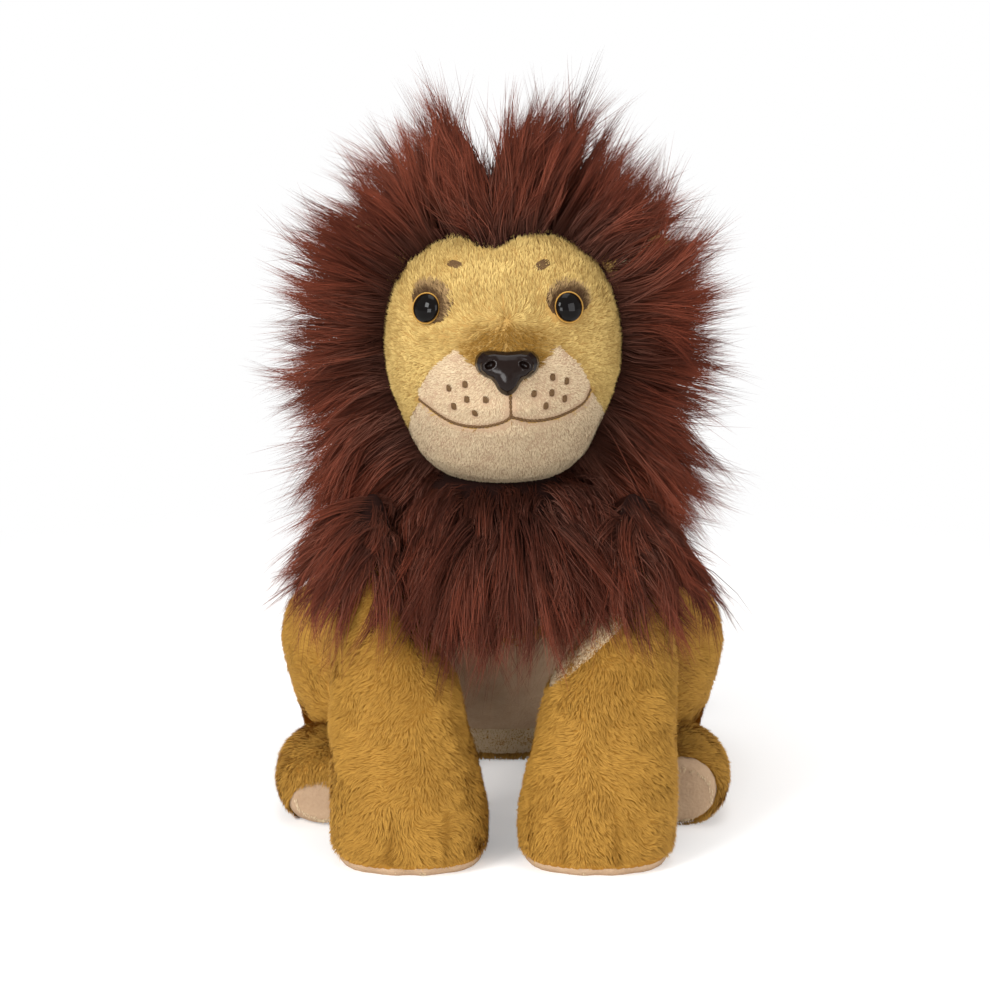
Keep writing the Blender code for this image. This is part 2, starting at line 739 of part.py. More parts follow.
def make_hind_leg(name, side, torso_room, cloth, cream):
    """A thigh, the foot under it and the pad on the foot's front."""
    thigh_form = Form(
        THIGH_SHARES,
        THIGH_HEIGHT,
        THIGH_WIDTH,
        THIGH_DEPTH,
        reach=THIGH_REACH,
        side=side,
        place=Vector((0, THIGH_FRONT, 0)),
        sides=24,
        rows=10,
        top_dome_share=0.30,
    )
    thigh = add_object(f"thigh_{name}", thigh_form.solid(), cloth)
    thigh_room = add_object(f"thigh_room_{name}", thigh_form.solid(CLEARANCE))
    foot_form = Form(
        FOOT_SHARES,
        FOOT_LENGTH,
        FOOT_WIDTH,
        FOOT_HEIGHT,
        place=Vector((side * FOOT_CENTRE, FOOT_FRONT, FOOT_TOP)),
        turn=Euler((math.radians(-90.0), 0, 0)),
        sides=20,
        rows=8,
        top_dome_share=0.35,
        floor=0.0,
    )
    foot = add_object(f"hind_foot_{name}", foot_form.solid(), cloth)
    turns = [2 * math.pi * step / 16 for step in range(16)]
    outline = [
        (
            side * FOOT_CENTRE + PAD_WIDTH / 2 * math.cos(turn),
            PAD_CENTRE_HEIGHT[name] + PAD_HEIGHT[name] / 2 * math.sin(turn),
        )
        for turn in turns
    ]
    far = FOOT_FRONT + PAD_THICKNESS + FOOT_LENGTH / 3
    pad, room = let_in(
        f"hind_pad_{name}", foot_form, outline, FOOT_FRONT - CUT_OVERRUN, far, PAD_THICKNESS, cream
    )
    cut(thigh, torso_room)
    cut(foot, room, torso_room, thigh_room)
    return thigh, foot, pad


def head_swell(point):
    """The muzzle and the bridge of the nose, pushed forward from the ball of the head."""
    facing = max(0.0, 1 - point.y / (HEAD_DEPTH * 0.5))
    above = point.z - MUZZLE_CENTRE_HEIGHT
    muzzle = bump(point.x, MUZZLE_SPREAD_WIDTH) * bump(above, MUZZLE_SPREAD_HEIGHT)
    bridge = bump(point.x, BRIDGE_WIDTH) * bump(point.z - BRIDGE_CENTRE_HEIGHT, BRIDGE_HEIGHT)
    forward = MUZZLE_SWELL_DEPTH * muzzle + BRIDGE_SWELL_DEPTH * bridge
    return Vector((0, -forward * min(1.0, facing * 1.6), 0))


HEAD_FORM = Form(
    HEAD_SHARES,
    HEAD_HEIGHT,
    HEAD_WIDTH,
    HEAD_DEPTH,
    place=Vector((0, FACE_FRONT, NECK_HEIGHT)),
    sides=HEAD_SIDES,
    rows=15,
    top_dome_share=0.24,
    front_bias=0.45,
    swell=head_swell,
)
HEAD = Surface(HEAD_FORM)


def on_face(shares):
    """A place on the face as X and Z."""
    return shares[0] * HEAD_WIDTH / 2, NECK_HEIGHT + shares[1] * HEAD_HEIGHT


def face_line(points, steps=3):
    """A smooth line over the face, as X and Z pairs."""
    return [on_face(point) for point in smooth_run(points, steps)]


def make_muzzle(cream):
    """The two muzzle panels and the chin, and the one room that the head gives them."""
    near = FACE_FRONT - MUZZLE_SWELL_DEPTH - CUT_OVERRUN
    far = FACE_FRONT + MUZZLE_PANEL_DEPTH
    mouth = {name: face_line(MOUTH_RUN_SHARES[name]) for name in SIDES}
    edge = {name: face_line(MUZZLE_EDGE_SHARES[name]) for name in SIDES}
    inner = {name: face_line(MUZZLE_INNER_SHARES[name], 2) for name in SIDES}
    panels = []
    for name in SIDES:
        outline = mouth[name] + edge[name][1:] + inner[name][1:]
        panels.append(make_panel(f"muzzle_{name}", HEAD_FORM, outline, near, far, MUZZLE_THICKNESS, cream))
    below = []
    for name, run in (("right", 1), ("left", -1)):
        side = [CHIN_SIDE_SHARES[name], CHIN_UNDER_SHARES[name]]
        side.append((CHIN_UNDER_SHARES[name][0], CHIN_BELOW_SHARE))
        below += [on_face(place) for place in side[::run]]
    outline = below + mouth["left"][::-1] + mouth["right"][1:]
    panels.append(make_panel("chin", HEAD_FORM, outline, near, far, MUZZLE_THICKNESS, cream))
    outline = below + edge["left"] + inner["left"][1:] + inner["right"][-2::-1] + edge["right"][-2::-1]
    return panels, [make_room("muzzle", HEAD_FORM, outline, near, far, MUZZLE_THICKNESS)]


def shank_profile(length):
    """The stem behind an eye or nose, from its shoulder to the closed tip."""
    radius = EYE_SHANK_DIAMETER / 2
    return [(radius, 0), (radius, -length + radius / 2), (radius / 2, -length), (0, -length)]


def washer_and_room(name, point, normal, length, material):
    """A washer on a shank, and the bore and pocket that the head gives them."""
    bore = EYE_SHANK_DIAMETER / 2 + WASHER_FIT
    outer = WASHER_DIAMETER / 2
    top = -WASHER_DEPTH
    foot = top - WASHER_THICKNESS
    ring = [(bore, top), (outer, top), (outer, foot), (bore, foot)]
    washer = add_object(f"{name}_washer", turned(ring, point, normal), material)
    wide = EYE_SHANK_DIAMETER / 2 + CLEARANCE
    room = [
        (0, CUT_OVERRUN),
        (wide, CUT_OVERRUN),
        (wide, top + CLEARANCE),
        (outer + CLEARANCE, top + CLEARANCE),
        (outer + CLEARANCE, foot - CLEARANCE),
        (wide, foot - CLEARANCE),
        (wide, -length - CLEARANCE),
        (0, -length - CLEARANCE),
    ]
    return washer, add_object(f"{name}_bore", turned(room, point, normal))


def make_eye(name, side, plush, plastic, washer_plastic):
    """A safety eye, its washer and the dark patch sewn round it."""
    x, z = on_face(EYE_SHARES[name])
    point, normal = HEAD.touch(x, z, CLEARANCE)
    radius = EYE_DIAMETER / 2
    rise = EYE_DOME_HEIGHT - EYE_RIM_THICKNESS
    angles = [math.pi / 2 * step / 6 for step in range(7)]
    dome = [(radius * math.sin(a), EYE_RIM_THICKNESS + rise * math.cos(a)) for a in angles]
    profile = dome + [(radius, 0)] + shank_profile(EYE_SHANK_LENGTH)
    eye = add_object(f"eye_{name}", turned(profile, point, normal), plastic)
    washer, bore = washer_and_room(f"eye_{name}", point, normal, EYE_SHANK_LENGTH, washer_plastic)
    centre = on_face(EYE_PATCH_SHARES[name])
    size = EYE_PATCH_SIZE_SHARES[name]
    turns = [2 * math.pi * step / 16 for step in range(16)]
    outline = [
        (
            centre[0] + size[0] * HEAD_WIDTH / 2 * math.cos(turn),
            centre[1] + size[1] * HEAD_HEIGHT * math.sin(turn),
        )
        for turn in turns
    ]
    near = FACE_FRONT - MUZZLE_SWELL_DEPTH
    far = FACE_FRONT + MUZZLE_PANEL_DEPTH / 2
    patch, room = let_in(f"eye_patch_{name}", HEAD_FORM, outline, near, far, EYE_PATCH_THICKNESS, plush)
    cut(patch, bore)
    return [eye, washer, patch], [bore, room]


def make_nose(plastic, washer_plastic):
    """The moulded nose with its nostrils, and its washer."""
    x, z = on_face(NOSE_PLACE_SHARES)
    point, normal = HEAD.touch(x, z, CLEARANCE)
    tilt = math.radians(NOSE_TILT_DEGREES)
    facing = Vector((0, -math.cos(tilt), math.sin(tilt)))
    half = smooth_run([(a * NOSE_WIDTH / 2, (b - 0.5) * NOSE_HEIGHT) for a, b in NOSE_OUTLINE_SHARES], 1)
    outline = [tuple(p) for p in half] + [(-p[0], p[1]) for p in reversed(half[1:-1])]
    mesh = bmesh.new()
    rings = []
    for size, rise in NOSE_LAYER_SHARES:
        lift = rise * (NOSE_PROUD + NOSE_ROOT)
        rings.append([mesh.verts.new((a * size, b * size, lift)) for a, b in outline])
    count = len(outline)
    for lower, upper in zip(rings, rings[1:]):
        for index in range(count):
            after = (index + 1) % count
            mesh.faces.new((lower[index], lower[after], upper[after], upper[index]))
    mesh.faces.new(rings[0])
    mesh.faces.new(rings[-1])
    upright = Matrix.Rotation(math.pi / 2 - tilt, 4, "X")
    root = point - facing * NOSE_ROOT
    mesh.transform(Matrix.Translation(root) @ upright)
    nose = add_object("nose", mesh, plastic)
    for side in SIDES.values():
        across = side * NOSTRIL_PLACE_SHARES[0] * NOSE_WIDTH / 2
        up = (NOSTRIL_PLACE_SHARES[1] - 0.5) * NOSE_HEIGHT
        rise = (NOSE_PROUD + NOSE_ROOT) * 0.80
        for kind, extra, depth in (("rim", NOSTRIL_RIM, NOSTRIL_RIM * 1.6), ("hole", 0.0, NOSTRIL_DEPTH)):
            ball = bmesh.new()
            bmesh.ops.create_uvsphere(ball, u_segments=8, v_segments=5, radius=1.0)
            wide = NOSTRIL_WIDTH / 2 + extra
            high = NOSTRIL_HEIGHT / 2 + extra
            ball.transform(Matrix.Diagonal((wide, high, depth, 1.0)))
            ball.transform(Matrix.Rotation(-side * math.radians(NOSTRIL_TILT_DEGREES), 4, "Z"))
            lift = rise if kind == "rim" else rise + NOSTRIL_RIM
            ball.transform(Matrix.Translation((across, up, lift)))
            ball.transform(Matrix.Translation(root) @ upright)
            shape = add_object(f"nostril_{kind}_{side}", ball)
            combine(nose, shape, "UNION" if kind == "rim" else "DIFFERENCE")
    cut(nose, add_object("nose_seat", HEAD_FORM.solid(CLEARANCE)))
    stem = [(0, NOSE_PROUD / 3), (EYE_SHANK_DIAMETER / 2, NOSE_PROUD / 3)] + shank_profile(NOSE_SHANK_LENGTH)
    combine(nose, add_object("nose_stem", turned(stem, point, facing, 16)), "UNION")
    washer, bore = washer_and_room("nose", point, facing, NOSE_SHANK_LENGTH, washer_plastic)
    return [nose, washer], [bore]


def make_mouth(thread):
    """The three runs of mouth stitching, laid over the seam."""
    radius = MOUTH_THREAD_DIAMETER / 2
    made = []
    runs = {f"mouth_stitch_{name}": MOUTH_RUN_SHARES[name] for name in SIDES}
    runs["philtrum_stitch"] = PHILTRUM_SHARES
    for name, shares in runs.items():
        line = face_line(shares, 2)
        path = [HEAD.touch(x, z, radius + STITCH_LIFT)[0] for x, z in line]
        if name != "philtrum_stitch":
            path[0] += (path[1] - path[0]).normalized() * (radius + CLEARANCE)
        made.append(add_object(name, tube(path, [radius] * len(path), 6), thread))
    return made


def make_stitch(name, place, size, roll, thread):
    """A short satin stitch: a flat bead that lies on the face."""
    x, z = place
    width, height, thickness = size
    point, normal = HEAD.touch(x, z, CLEARANCE + thickness / 2)
    mesh = bmesh.new()
    bmesh.ops.create_uvsphere(mesh, u_segments=8, v_segments=4, radius=0.5)
    mesh.transform(Matrix.Diagonal((width, thickness, height, 1.0)))
    mesh.transform(Matrix.Rotation(roll, 4, "Y"))
    lean = Vector((0, -1, 0)).rotation_difference(normal).to_matrix().to_4x4()
    mesh.transform(Matrix.Translation(point) @ lean)
    return add_object(name, mesh, thread)


def make_stitches(thread):
    """The brow stitches and the whisker dots."""
    made = []
    for name in SIDES:
        low, high = (Vector(on_face(place)) for place in BROW_SHARES[name])
        run = high - low
        roll = math.atan2(run.x, run.y)
        size = (BROW_STITCH_WIDTH, run.length, BROW_STITCH_THICKNESS)
        made.append(make_stitch(f"brow_stitch_{name}", (low + high) / 2, size, roll, thread))
        dot = (WHISKER_DOT_WIDTH, WHISKER_DOT_HEIGHT, WHISKER_DOT_THICKNESS)
        for number, place in enumerate(WHISKER_SHARES[name], 1):
            made.append(make_stitch(f"whisker_dot_{name}_{number}", on_face(place), dot, 0.0, thread))
    return made


def ear_hinge(side):
    """The middle of an ear's fold line, and the ear's outward direction."""
    lean = math.radians(EAR_LEAN_DEGREES)
    out = Vector((side * math.sin(lean), 0, math.cos(lean)))
    mesh = HEAD_FORM.solid(CLEARANCE)
    bmesh.ops.triangulate(mesh, faces=mesh.faces)
    tree = BVHTree.FromBMesh(mesh)
    middle = Vector((0, EAR_BACK - EAR_THICKNESS / 2, NECK_HEIGHT + HEAD_HEIGHT / 2))
    point, _, _, _ = tree.ray_cast(middle, out)
    mesh.free()
    return point + out * EAR_THICKNESS / 2, out


def make_ear(name, side, cloth, cream):
    """An ear that folds about the round lower edge, its lining, and its pocket in the mane."""
    hinge, out = ear_hinge(side)
    turn = Euler((0, side * math.radians(EAR_LEAN_DEGREES), 0))
    foot = hinge - out * EAR_THICKNESS / 2
    form = Form(
        EAR_SHARES,
        EAR_HEIGHT,
        EAR_WIDTH,
        EAR_THICKNESS,
        place=foot - Vector((0, EAR_THICKNESS / 2, 0)),
        turn=turn,
        sides=18,
        rows=9,
        foot_dome_share=EAR_THICKNESS / 2 / EAR_HEIGHT,
        top_dome_share=0.5,
    )
    ear = add_object(f"ear_{name}", form.solid(), cloth)
    centre = foot + out * (EAR_LINING_RISE + EAR_LINING_HEIGHT / 2)
    across = Vector((out.z, 0, -out.x))
    turns = [2 * math.pi * step / 16 for step in range(16)]
    outline = []
    for angle in turns:
        place = centre + across * EAR_LINING_WIDTH / 2 * math.cos(angle)
        place += out * EAR_LINING_HEIGHT / 2 * math.sin(angle)
        outline.append((place.x, place.z))
    near = hinge.y - EAR_THICKNESS - CUT_OVERRUN
    far = hinge.y - EAR_THICKNESS / 2 + EAR_LINING_THICKNESS
    lining, room = let_in(f"ear_lining_{name}", form, outline, near, far, 0.0, cream)
    cut(ear, room)
    # The mane's pocket is as wide below as the ear's widest place, so that the ear can fold forward
    steps = [step / 12 for step in range(13)]
    reaches = [max(point.x for point in form.ring(share)) for share in steps]
    reaches = [max(reaches[index:]) for index in range(len(steps))]
    edges = [(sign * reach, share * EAR_HEIGHT) for sign in (1, -1) for reach, share in zip(reaches, steps)]
    corners = [foot + across * reach + out * rise for reach, rise in edges]
    around = [(p.x, p.z) for p in corners[:13] + corners[:13 - 1:-1][1:]]
    back = hinge.y + EAR_THICKNESS / 2
    pocket = add_object(f"ear_pocket_{name}", prism(around, MANE_FRONT - CUT_OVERRUN, back, EAR_POCKET_GAP))
    return ear, lining, pocket, hinge


def make_mane(head_room, pockets, fur):
    """The ruff, in two halves that part down the middle, above the neck seam."""
    form = Form(
        MANE_SHARES,
        MANE_DEPTH,
        2 * MANE_HALF_WIDTH,
        MANE_HEIGHT,
        place=Vector((0, MANE_FRONT, MANE_TOP)),
        turn=Euler((math.radians(-90.0), 0, 0)),
        sides=MANE_SIDES,
        rows=9,
        top_dome_share=0.30,
        lock_share=LOCK_DEPTH_SHARE,
    )
    reach = MANE_HALF_WIDTH + CUT_OVERRUN
    back = MANE_FRONT + MANE_DEPTH + CUT_OVERRUN
    low = MANE_TOP - MANE_HEIGHT - CUT_OVERRUN
    high = MANE_TOP + CUT_OVERRUN
    near = MANE_FRONT - CUT_OVERRUN
    below = add_object("below_neck", block((-reach, near, low), (reach, back, NECK_HEIGHT)))
    halves = []
    for name, side in SIDES.items():
        half = add_object(f"mane_{name}", form.solid(), fur)
        near_middle = side * CLEARANCE / 2
        ends = sorted((near_middle, -side * reach))
        other = block((ends[0], near, low), (ends[1], back, high))
        cut(half, below, add_object(f"mane_parting_{name}", other), head_room, pockets[name])
        halves.append(half)
    return halves


def make_collar(rooms, fur):
    """The mane below the neck seam: a bib on the chest and a nape behind."""
    form = Form(
        COLLAR_SHARES,
        COLLAR_HEIGHT - CLEARANCE,
        COLLAR_WIDTH,
        COLLAR_DEPTH,
        place=Vector((0, COLLAR_FRONT, NECK_HEIGHT - COLLAR_HEIGHT)),
        sides=MANE_SIDES,
        rows=5,
        squareness_share=BODY_SQUARENESS_SHARE,
        lock_share=LOCK_DEPTH_SHARE,
        fringe=FRINGE_LENGTH,
    )
    made = []
    reach = COLLAR_WIDTH
    low = NECK_HEIGHT - COLLAR_HEIGHT - FRINGE_LENGTH - CUT_OVERRUN
    ends = {
        "mane_bib": (COLLAR_PARTING - CLEARANCE / 2, COLLAR_FRONT + COLLAR_DEPTH + CUT_OVERRUN),
        "mane_nape": (COLLAR_FRONT - CUT_OVERRUN, COLLAR_PARTING + CLEARANCE / 2),
    }
    for name, (near, far) in ends.items():
        piece = add_object(name, form.solid(), fur)
        parting = add_object(f"{name}_parting", block((-reach, near, low), (reach, far, NECK_HEIGHT + reach)))
        cut(piece, parting, *rooms)
        made.append(piece)
    return made


def make_tail(torso_form, cloth, fur):
    """The tail and its tuft, one smooth sweep split where the tuft is sewn on."""
    mesh = torso_form.solid()
    bmesh.ops.triangulate(mesh, faces=mesh.faces)
    tree = BVHTree.FromBMesh(mesh)
    root = Vector((0, RUMP_BACK + TAIL_ROOT_RADIUS, TAIL_ROOT_HEIGHT))
    for _ in range(6):
        root.y -= tree.find_nearest(root)[3] - TAIL_ROOT_RADIUS - CLEARANCE
    mesh.free()
    root.z = 0
    places = []
    for sideways, backward, upward in TAIL_PATH_SHARES:
        spot = Vector((sideways * TAIL_LENGTH, backward * TAIL_BOW_DEPTH, upward * TAIL_ROOT_HEIGHT))
        places.append(root + spot)
    table = [(index / (len(places) - 1), *place) for index, place in enumerate(places)]

    def stretch(start, end, steps):
        spots = [start + (end - start) * step / steps for step in range(steps + 1)]
        return [Vector(smooth_row(table, spot)) for spot in spots]

    split = TAIL_TUFT_START_SHARE
    steps = 12
    path = stretch(0.0, split - TAIL_GAP_SHARE, steps)
    radii = []
    for step in range(steps + 1):
        share = step / steps
        slim = TAIL_ROOT_RADIUS + (TAIL_END_RADIUS - TAIL_ROOT_RADIUS) * share
        radii.append(slim * smooth_row(TAIL_RADIUS_SHARES, share)[0])
    tail = add_object("tail", tube(path, radii, floor=0.0), cloth)
    knob = bmesh.new()
    bmesh.ops.create_uvsphere(knob, u_segments=12, v_segments=7, radius=TAIL_ROOT_RADIUS * 0.995)
    knob.transform(Matrix.Translation(path[0]))
    combine(tail, add_object("tail_root", knob), "UNION")
    path = stretch(split + TAIL_GAP_SHARE, 1.0, 8)
    radii = [TAIL_TUFT_RADIUS * smooth_row(TUFT_RADIUS_SHARES, step / 8)[0] for step in range(9)]
    tuft = add_object("tail_tuft", tube(path, radii, TUBE_SIDES, floor=0.0), fur)
    return tail, tuft, root + Vector((0, 0, TAIL_ROOT_HEIGHT))


def hang_on(pieces, name, place):
    """An empty on a joint's axis, with the pieces that it carries."""
    axis = bpy.data.objects.new(name, None)
    axis.empty_display_size = EYE_DIAMETER
    bpy.context.scene.collection.objects.link(axis)
    axis.location = place
    bpy.context.view_layer.update()
    for piece in pieces:
        piece.parent = axis
        piece.matrix_parent_inverse = axis.matrix_world.inverted()
    return axis


def build():
    """The whole lion."""
    for existing in list(bpy.data.objects):
        bpy.data.objects.remove(existing, do_unlink=True)
    gold = finish("gold plush", PLUSH_GOLD, CLOTH_ROUGHNESS)
    face_gold = finish("face plush", FACE_GOLD, CLOTH_ROUGHNESS)
    cream = finish("cream plush", CREAM, CLOTH_ROUGHNESS)
    fur = finish("mane fur", MANE_BROWN, CLOTH_ROUGHNESS)
    dark = finish("eye patch plush", PATCH_BROWN, CLOTH_ROUGHNESS)
    thread = finish("brown thread", THREAD_BROWN, CLOTH_ROUGHNESS)
    nose_plastic = finish("nose plastic", NOSE_BLACK, PLASTIC_ROUGHNESS)
    eye_plastic = finish("eye plastic", EYE_BLACK, PLASTIC_ROUGHNESS)
    washer_plastic = finish("washer plastic", WASHER_WHITE, CLOTH_ROUGHNESS)
    bag_cloth = finish("bag cloth", BAG_WHITE, CLOTH_ROUGHNESS)

    torso_form, _, _, _ = make_torso(gold, cream, bag_cloth)
    torso_room = add_object("torso_room", torso_form.solid(CLEARANCE))
    collar_rooms = [torso_room]
    for name, side in SIDES.items():
        leg_form, _, _ = make_front_leg(name, side, torso_room, gold, cream)
        collar_rooms.append(add_object(f"leg_room_{name}", leg_form.solid(CLEARANCE)))
        make_hind_leg(name, side, torso_room, gold, cream)
    make_collar(collar_rooms, fur)

    head = add_object("head", HEAD_FORM.solid(), face_gold)
    carried, rooms = make_muzzle(cream)
    for name, side in SIDES.items():
        pieces, needed = make_eye(name, side, dark, eye_plastic, washer_plastic)
        carried += pieces
        rooms += needed
    pieces, needed = make_nose(nose_plastic, washer_plastic)
    for panel in carried[:3]:
        cut(panel, *needed)
    carried += pieces
    rooms += needed
    cut(head, *rooms)
    carried += make_mouth(thread) + make_stitches(thread)
    pockets = {}
    ears = {}
    for name, side in SIDES.items():
        ear, lining, pockets[name], hinge = make_ear(name, side, face_gold, cream)
        ears[name] = ([ear, lining], hinge)
    head_room = add_object("head_room", HEAD_FORM.solid(CLEARANCE))
    carried += make_mane(head_room, pockets, fur)

    neck = Vector((0, FACE_FRONT + HEAD_DEPTH / 2, NECK_HEIGHT))
    head_axis = hang_on([head] + carried, "head_turn_axis", neck)
    for name, (pieces, hinge) in ears.items():
        ear_axis = hang_on(pieces, f"ear_{name}_axis", hinge)
        ear_axis.parent = head_axis
        ear_axis.matrix_parent_inverse = head_axis.matrix_world.inverted()
        print(f"ear_{name} hinge", [round(value, 5) for value in hinge])
    tail, tuft, tail_root = make_tail(torso_form, gold, fur)
    hang_on([tail, tuft], "tail_swing_axis", tail_root)
    print("neck", [round(value, 5) for value in neck], "tail root", [round(value, 5) for value in tail_root])


build()
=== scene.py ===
"""Seated plush lion: skins, pile, mane, face and studio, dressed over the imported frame."""

import sys
import json
import logging
import math
from dataclasses import dataclass
from enum import Enum
from typing import Callable, Optional, Sequence, Union

import bmesh
import bpy
import numpy as np
from mathutils import Matrix, Vector
from mathutils.bvhtree import BVHTree

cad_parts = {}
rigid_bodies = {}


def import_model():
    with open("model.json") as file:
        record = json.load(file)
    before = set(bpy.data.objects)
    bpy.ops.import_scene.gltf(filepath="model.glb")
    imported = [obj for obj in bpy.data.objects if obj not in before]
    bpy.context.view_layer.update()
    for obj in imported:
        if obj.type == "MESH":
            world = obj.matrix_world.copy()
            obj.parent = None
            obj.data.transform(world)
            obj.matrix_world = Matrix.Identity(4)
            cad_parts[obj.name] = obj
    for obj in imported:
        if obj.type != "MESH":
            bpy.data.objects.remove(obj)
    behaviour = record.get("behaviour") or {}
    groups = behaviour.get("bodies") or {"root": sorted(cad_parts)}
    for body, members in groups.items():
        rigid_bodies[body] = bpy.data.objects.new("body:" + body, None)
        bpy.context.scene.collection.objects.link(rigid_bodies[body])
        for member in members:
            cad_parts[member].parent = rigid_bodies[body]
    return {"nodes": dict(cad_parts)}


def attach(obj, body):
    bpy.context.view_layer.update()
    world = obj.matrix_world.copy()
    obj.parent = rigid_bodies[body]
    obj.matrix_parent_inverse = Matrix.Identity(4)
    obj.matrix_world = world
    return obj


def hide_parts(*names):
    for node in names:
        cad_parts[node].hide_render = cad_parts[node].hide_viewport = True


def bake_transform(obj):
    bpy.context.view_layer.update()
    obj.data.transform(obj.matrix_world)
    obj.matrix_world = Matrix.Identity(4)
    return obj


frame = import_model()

LOG = logging.getLogger("lion")
MM = 0.001
UV_NAME = "OFBake"
WELD = 1e-6
EAR_HEIGHT = 0.208
Array = np.ndarray
Part = Union[np.ndarray, float]
Comb = Callable[[Array, Array], Array]
Field = Callable[[Array], Array]

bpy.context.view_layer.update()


class Side(Enum):
    """The lion's own left and right."""

    LEFT = 1
    RIGHT = -1

    @property
    def label(self) -> str:
        """The word that ends a node's name."""
        return self.name.lower()


# Shader language


class Value:
    """A shader value, so that a formula reads as plain Python."""

    def __init__(self, graph: "Graph", socket: Optional[bpy.types.NodeSocket]) -> None:
        """Keeps the graph and the socket."""
        self.graph = graph
        self.socket = socket

    def _math(self, operation: str, *values: Union["Value", float]) -> "Value":
        """A Math node on the given values."""
        return self.graph.add("ShaderNodeMath", {"operation": operation}, dict(enumerate(values)))

    def __add__(self, other: Union["Value", float]) -> "Value":
        """The sum."""
        return self._math("ADD", self, other)

    def __mul__(self, other: Union["Value", float]) -> "Value":
        """The product."""
        return self._math("MULTIPLY", self, other)

    def __sub__(self, other: Union["Value", float]) -> "Value":
        """The difference."""
        return self._math("SUBTRACT", self, other)

    def __rsub__(self, other: float) -> "Value":
        """A number less this value."""
        return self._math("SUBTRACT", other, self)

    __radd__ = __add__
    __rmul__ = __mul__

    def clamp(self) -> "Value":
        """The value kept between 0 and 1."""
        return self.graph.add("ShaderNodeClamp", {}, {0: self})


class Graph:
    """A material's or world's node tree, built by short calls."""

    def __init__(self, tree: bpy.types.NodeTree) -> None:
        """Starts from an empty tree."""
        self.tree = tree
        self.tree.nodes.clear()

    @classmethod
    def material(cls, name: str) -> tuple["Graph", bpy.types.Material]:
        """A new material and its graph."""
        made = bpy.data.materials.new(name)
        made.use_nodes = True
        return cls(made.node_tree), made

    def add(self, kind: str, settings: dict, inputs: dict, output: Union[int, str] = 0) -> Value:
        """Adds a node.

        Args:
            kind: the node's type.
            settings: its properties, set first; a ramp's stops go under "stops".
            inputs: its sockets by name or number, with their values or links.
            output: the socket to hand back.

        Returns:
            The output socket as a value.
        """
        node = self.tree.nodes.new(kind)
        for key, value in settings.items():
            if key == "stops":
                self._set_stops(node.color_ramp, value)
            else:
                setattr(node, key, value)
        for key, value in inputs.items():
            socket = node.inputs[key]
            if isinstance(value, Value):
                self.tree.links.new(value.socket, socket)
            elif isinstance(value, (tuple, list)) and socket.type == "RGBA":
                socket.default_value = (*value[:3], 1.0)
            else:
                socket.default_value = value
        return Value(self, node.outputs[output] if len(node.outputs) else None)

    @staticmethod
    def _set_stops(ramp: bpy.types.ColorRamp, stops: Sequence) -> None:
        """Writes a ramp's stops, each a place and a colour."""
        while len(ramp.elements) < len(stops):
            ramp.elements.new(1.0)
        for element, (place, colour) in zip(ramp.elements, stops):
            element.position = place
            element.color = (*colour, 1.0)

    def mix(self, factor: Union[Value, float], dark: object, light: object) -> Value:
        """A colour between two others."""
        return self.add("ShaderNodeMix", {"data_type": "RGBA"}, {0: factor, 6: dark, 7: light}, 2)

    def own_uv(self, axis: str) -> Value:
        """One axis of the piece's own UV map."""
        place = self.add("ShaderNodeUVMap", {"uv_map": UV_NAME}, {})
        return self.add("ShaderNodeSeparateXYZ", {}, {0: place}, axis)

    def noise(self, scale: float, detail: float) -> Value:
        """Noise in Object coordinates."""
        place = self.add("ShaderNodeTexCoord", {}, {}, "Object")
        return self.add("ShaderNodeTexNoise", {}, {"Vector": place, "Scale": scale, "Detail": detail})

    def bump(self, height: Value, distance: float, strength: float) -> Value:
        """The normal that a height gives."""
        return self.add("ShaderNodeBump", {}, {"Height": height, "Distance": distance, "Strength": strength})

    def glow(self, strength: Value) -> Value:
        """White light of a strength."""
        return self.add("ShaderNodeEmission", {}, {"Color": (1, 1, 1), "Strength": strength})

    def surface(self, shader: Value) -> None:
        """Links the closing shader."""
        self.add("ShaderNodeOutputMaterial", {}, {"Surface": shader})


# Finishes


@dataclass(frozen=True)
class Finish:
    """A material of the lion: its name, and a slot name that this script does not read."""

    name: str
    slot: str

    def make(self) -> bpy.types.Material:
        """The material."""
        graph, made = Graph.material(self.name)
        graph.surface(graph.add("ShaderNodeBsdfPrincipled", {}, self.inputs(graph)))
        return made

    def inputs(self, graph: Graph) -> dict:
        """The main shader's inputs by name."""
        raise NotImplementedError


@dataclass(frozen=True)
class PileFinish(Finish):
    """Plush pile or fur, coloured along each fibre and from tuft to tuft; its darker roots are partly the
    fibre's own colour and partly painted shade deep in the pile.
    """

    dark_root: tuple
    light_root: tuple
    dark_tip: tuple
    light_tip: tuple
    roughness: float = 0.75
    shine: float = 0.15
    glint: tuple = (1.0, 1.0, 1.0)
    # deep keeps the roots dark further along each fibre: partly the mane's own dark roots, partly painted shade
    # deep in the mane and under the chin.
    deep: bool = False

    def inputs(self, graph: Graph) -> dict:
        """Reads the fibre's own UV map: across is its tone, up is along it."""
        tone, along = graph.own_uv("X"), graph.own_uv("Y")
        if self.deep:
            along = along * along
        root = graph.mix(tone, self.dark_root, self.light_root)
        tip = graph.mix(tone, self.dark_tip, self.light_tip)
        return {
            "Base Color": graph.mix(along, root, tip),
            "Roughness": self.roughness,
            "Specular IOR Level": self.shine,
            "Specular Tint": self.glint,
        }


@dataclass(frozen=True)
class ClothFinish(Finish):
    """Knitted backing, as it shows between the fibres."""

    dark: tuple
    light: tuple
    scale: float = 900.0
    broad: float = 150.0

    def inputs(self, graph: Graph) -> dict:
        """Mottled in Object coordinates."""
        noise = graph.noise(self.scale, 3.0)
        tone = (noise * 0.6 + graph.noise(self.broad, 2.0) * 0.8 - 0.2).clamp()
        return {
            "Base Color": graph.mix(tone, self.dark, self.light),
            "Roughness": 0.9,
            "Specular IOR Level": 0.1,
            "Normal": graph.bump(noise, 0.0004, 0.6),
        }


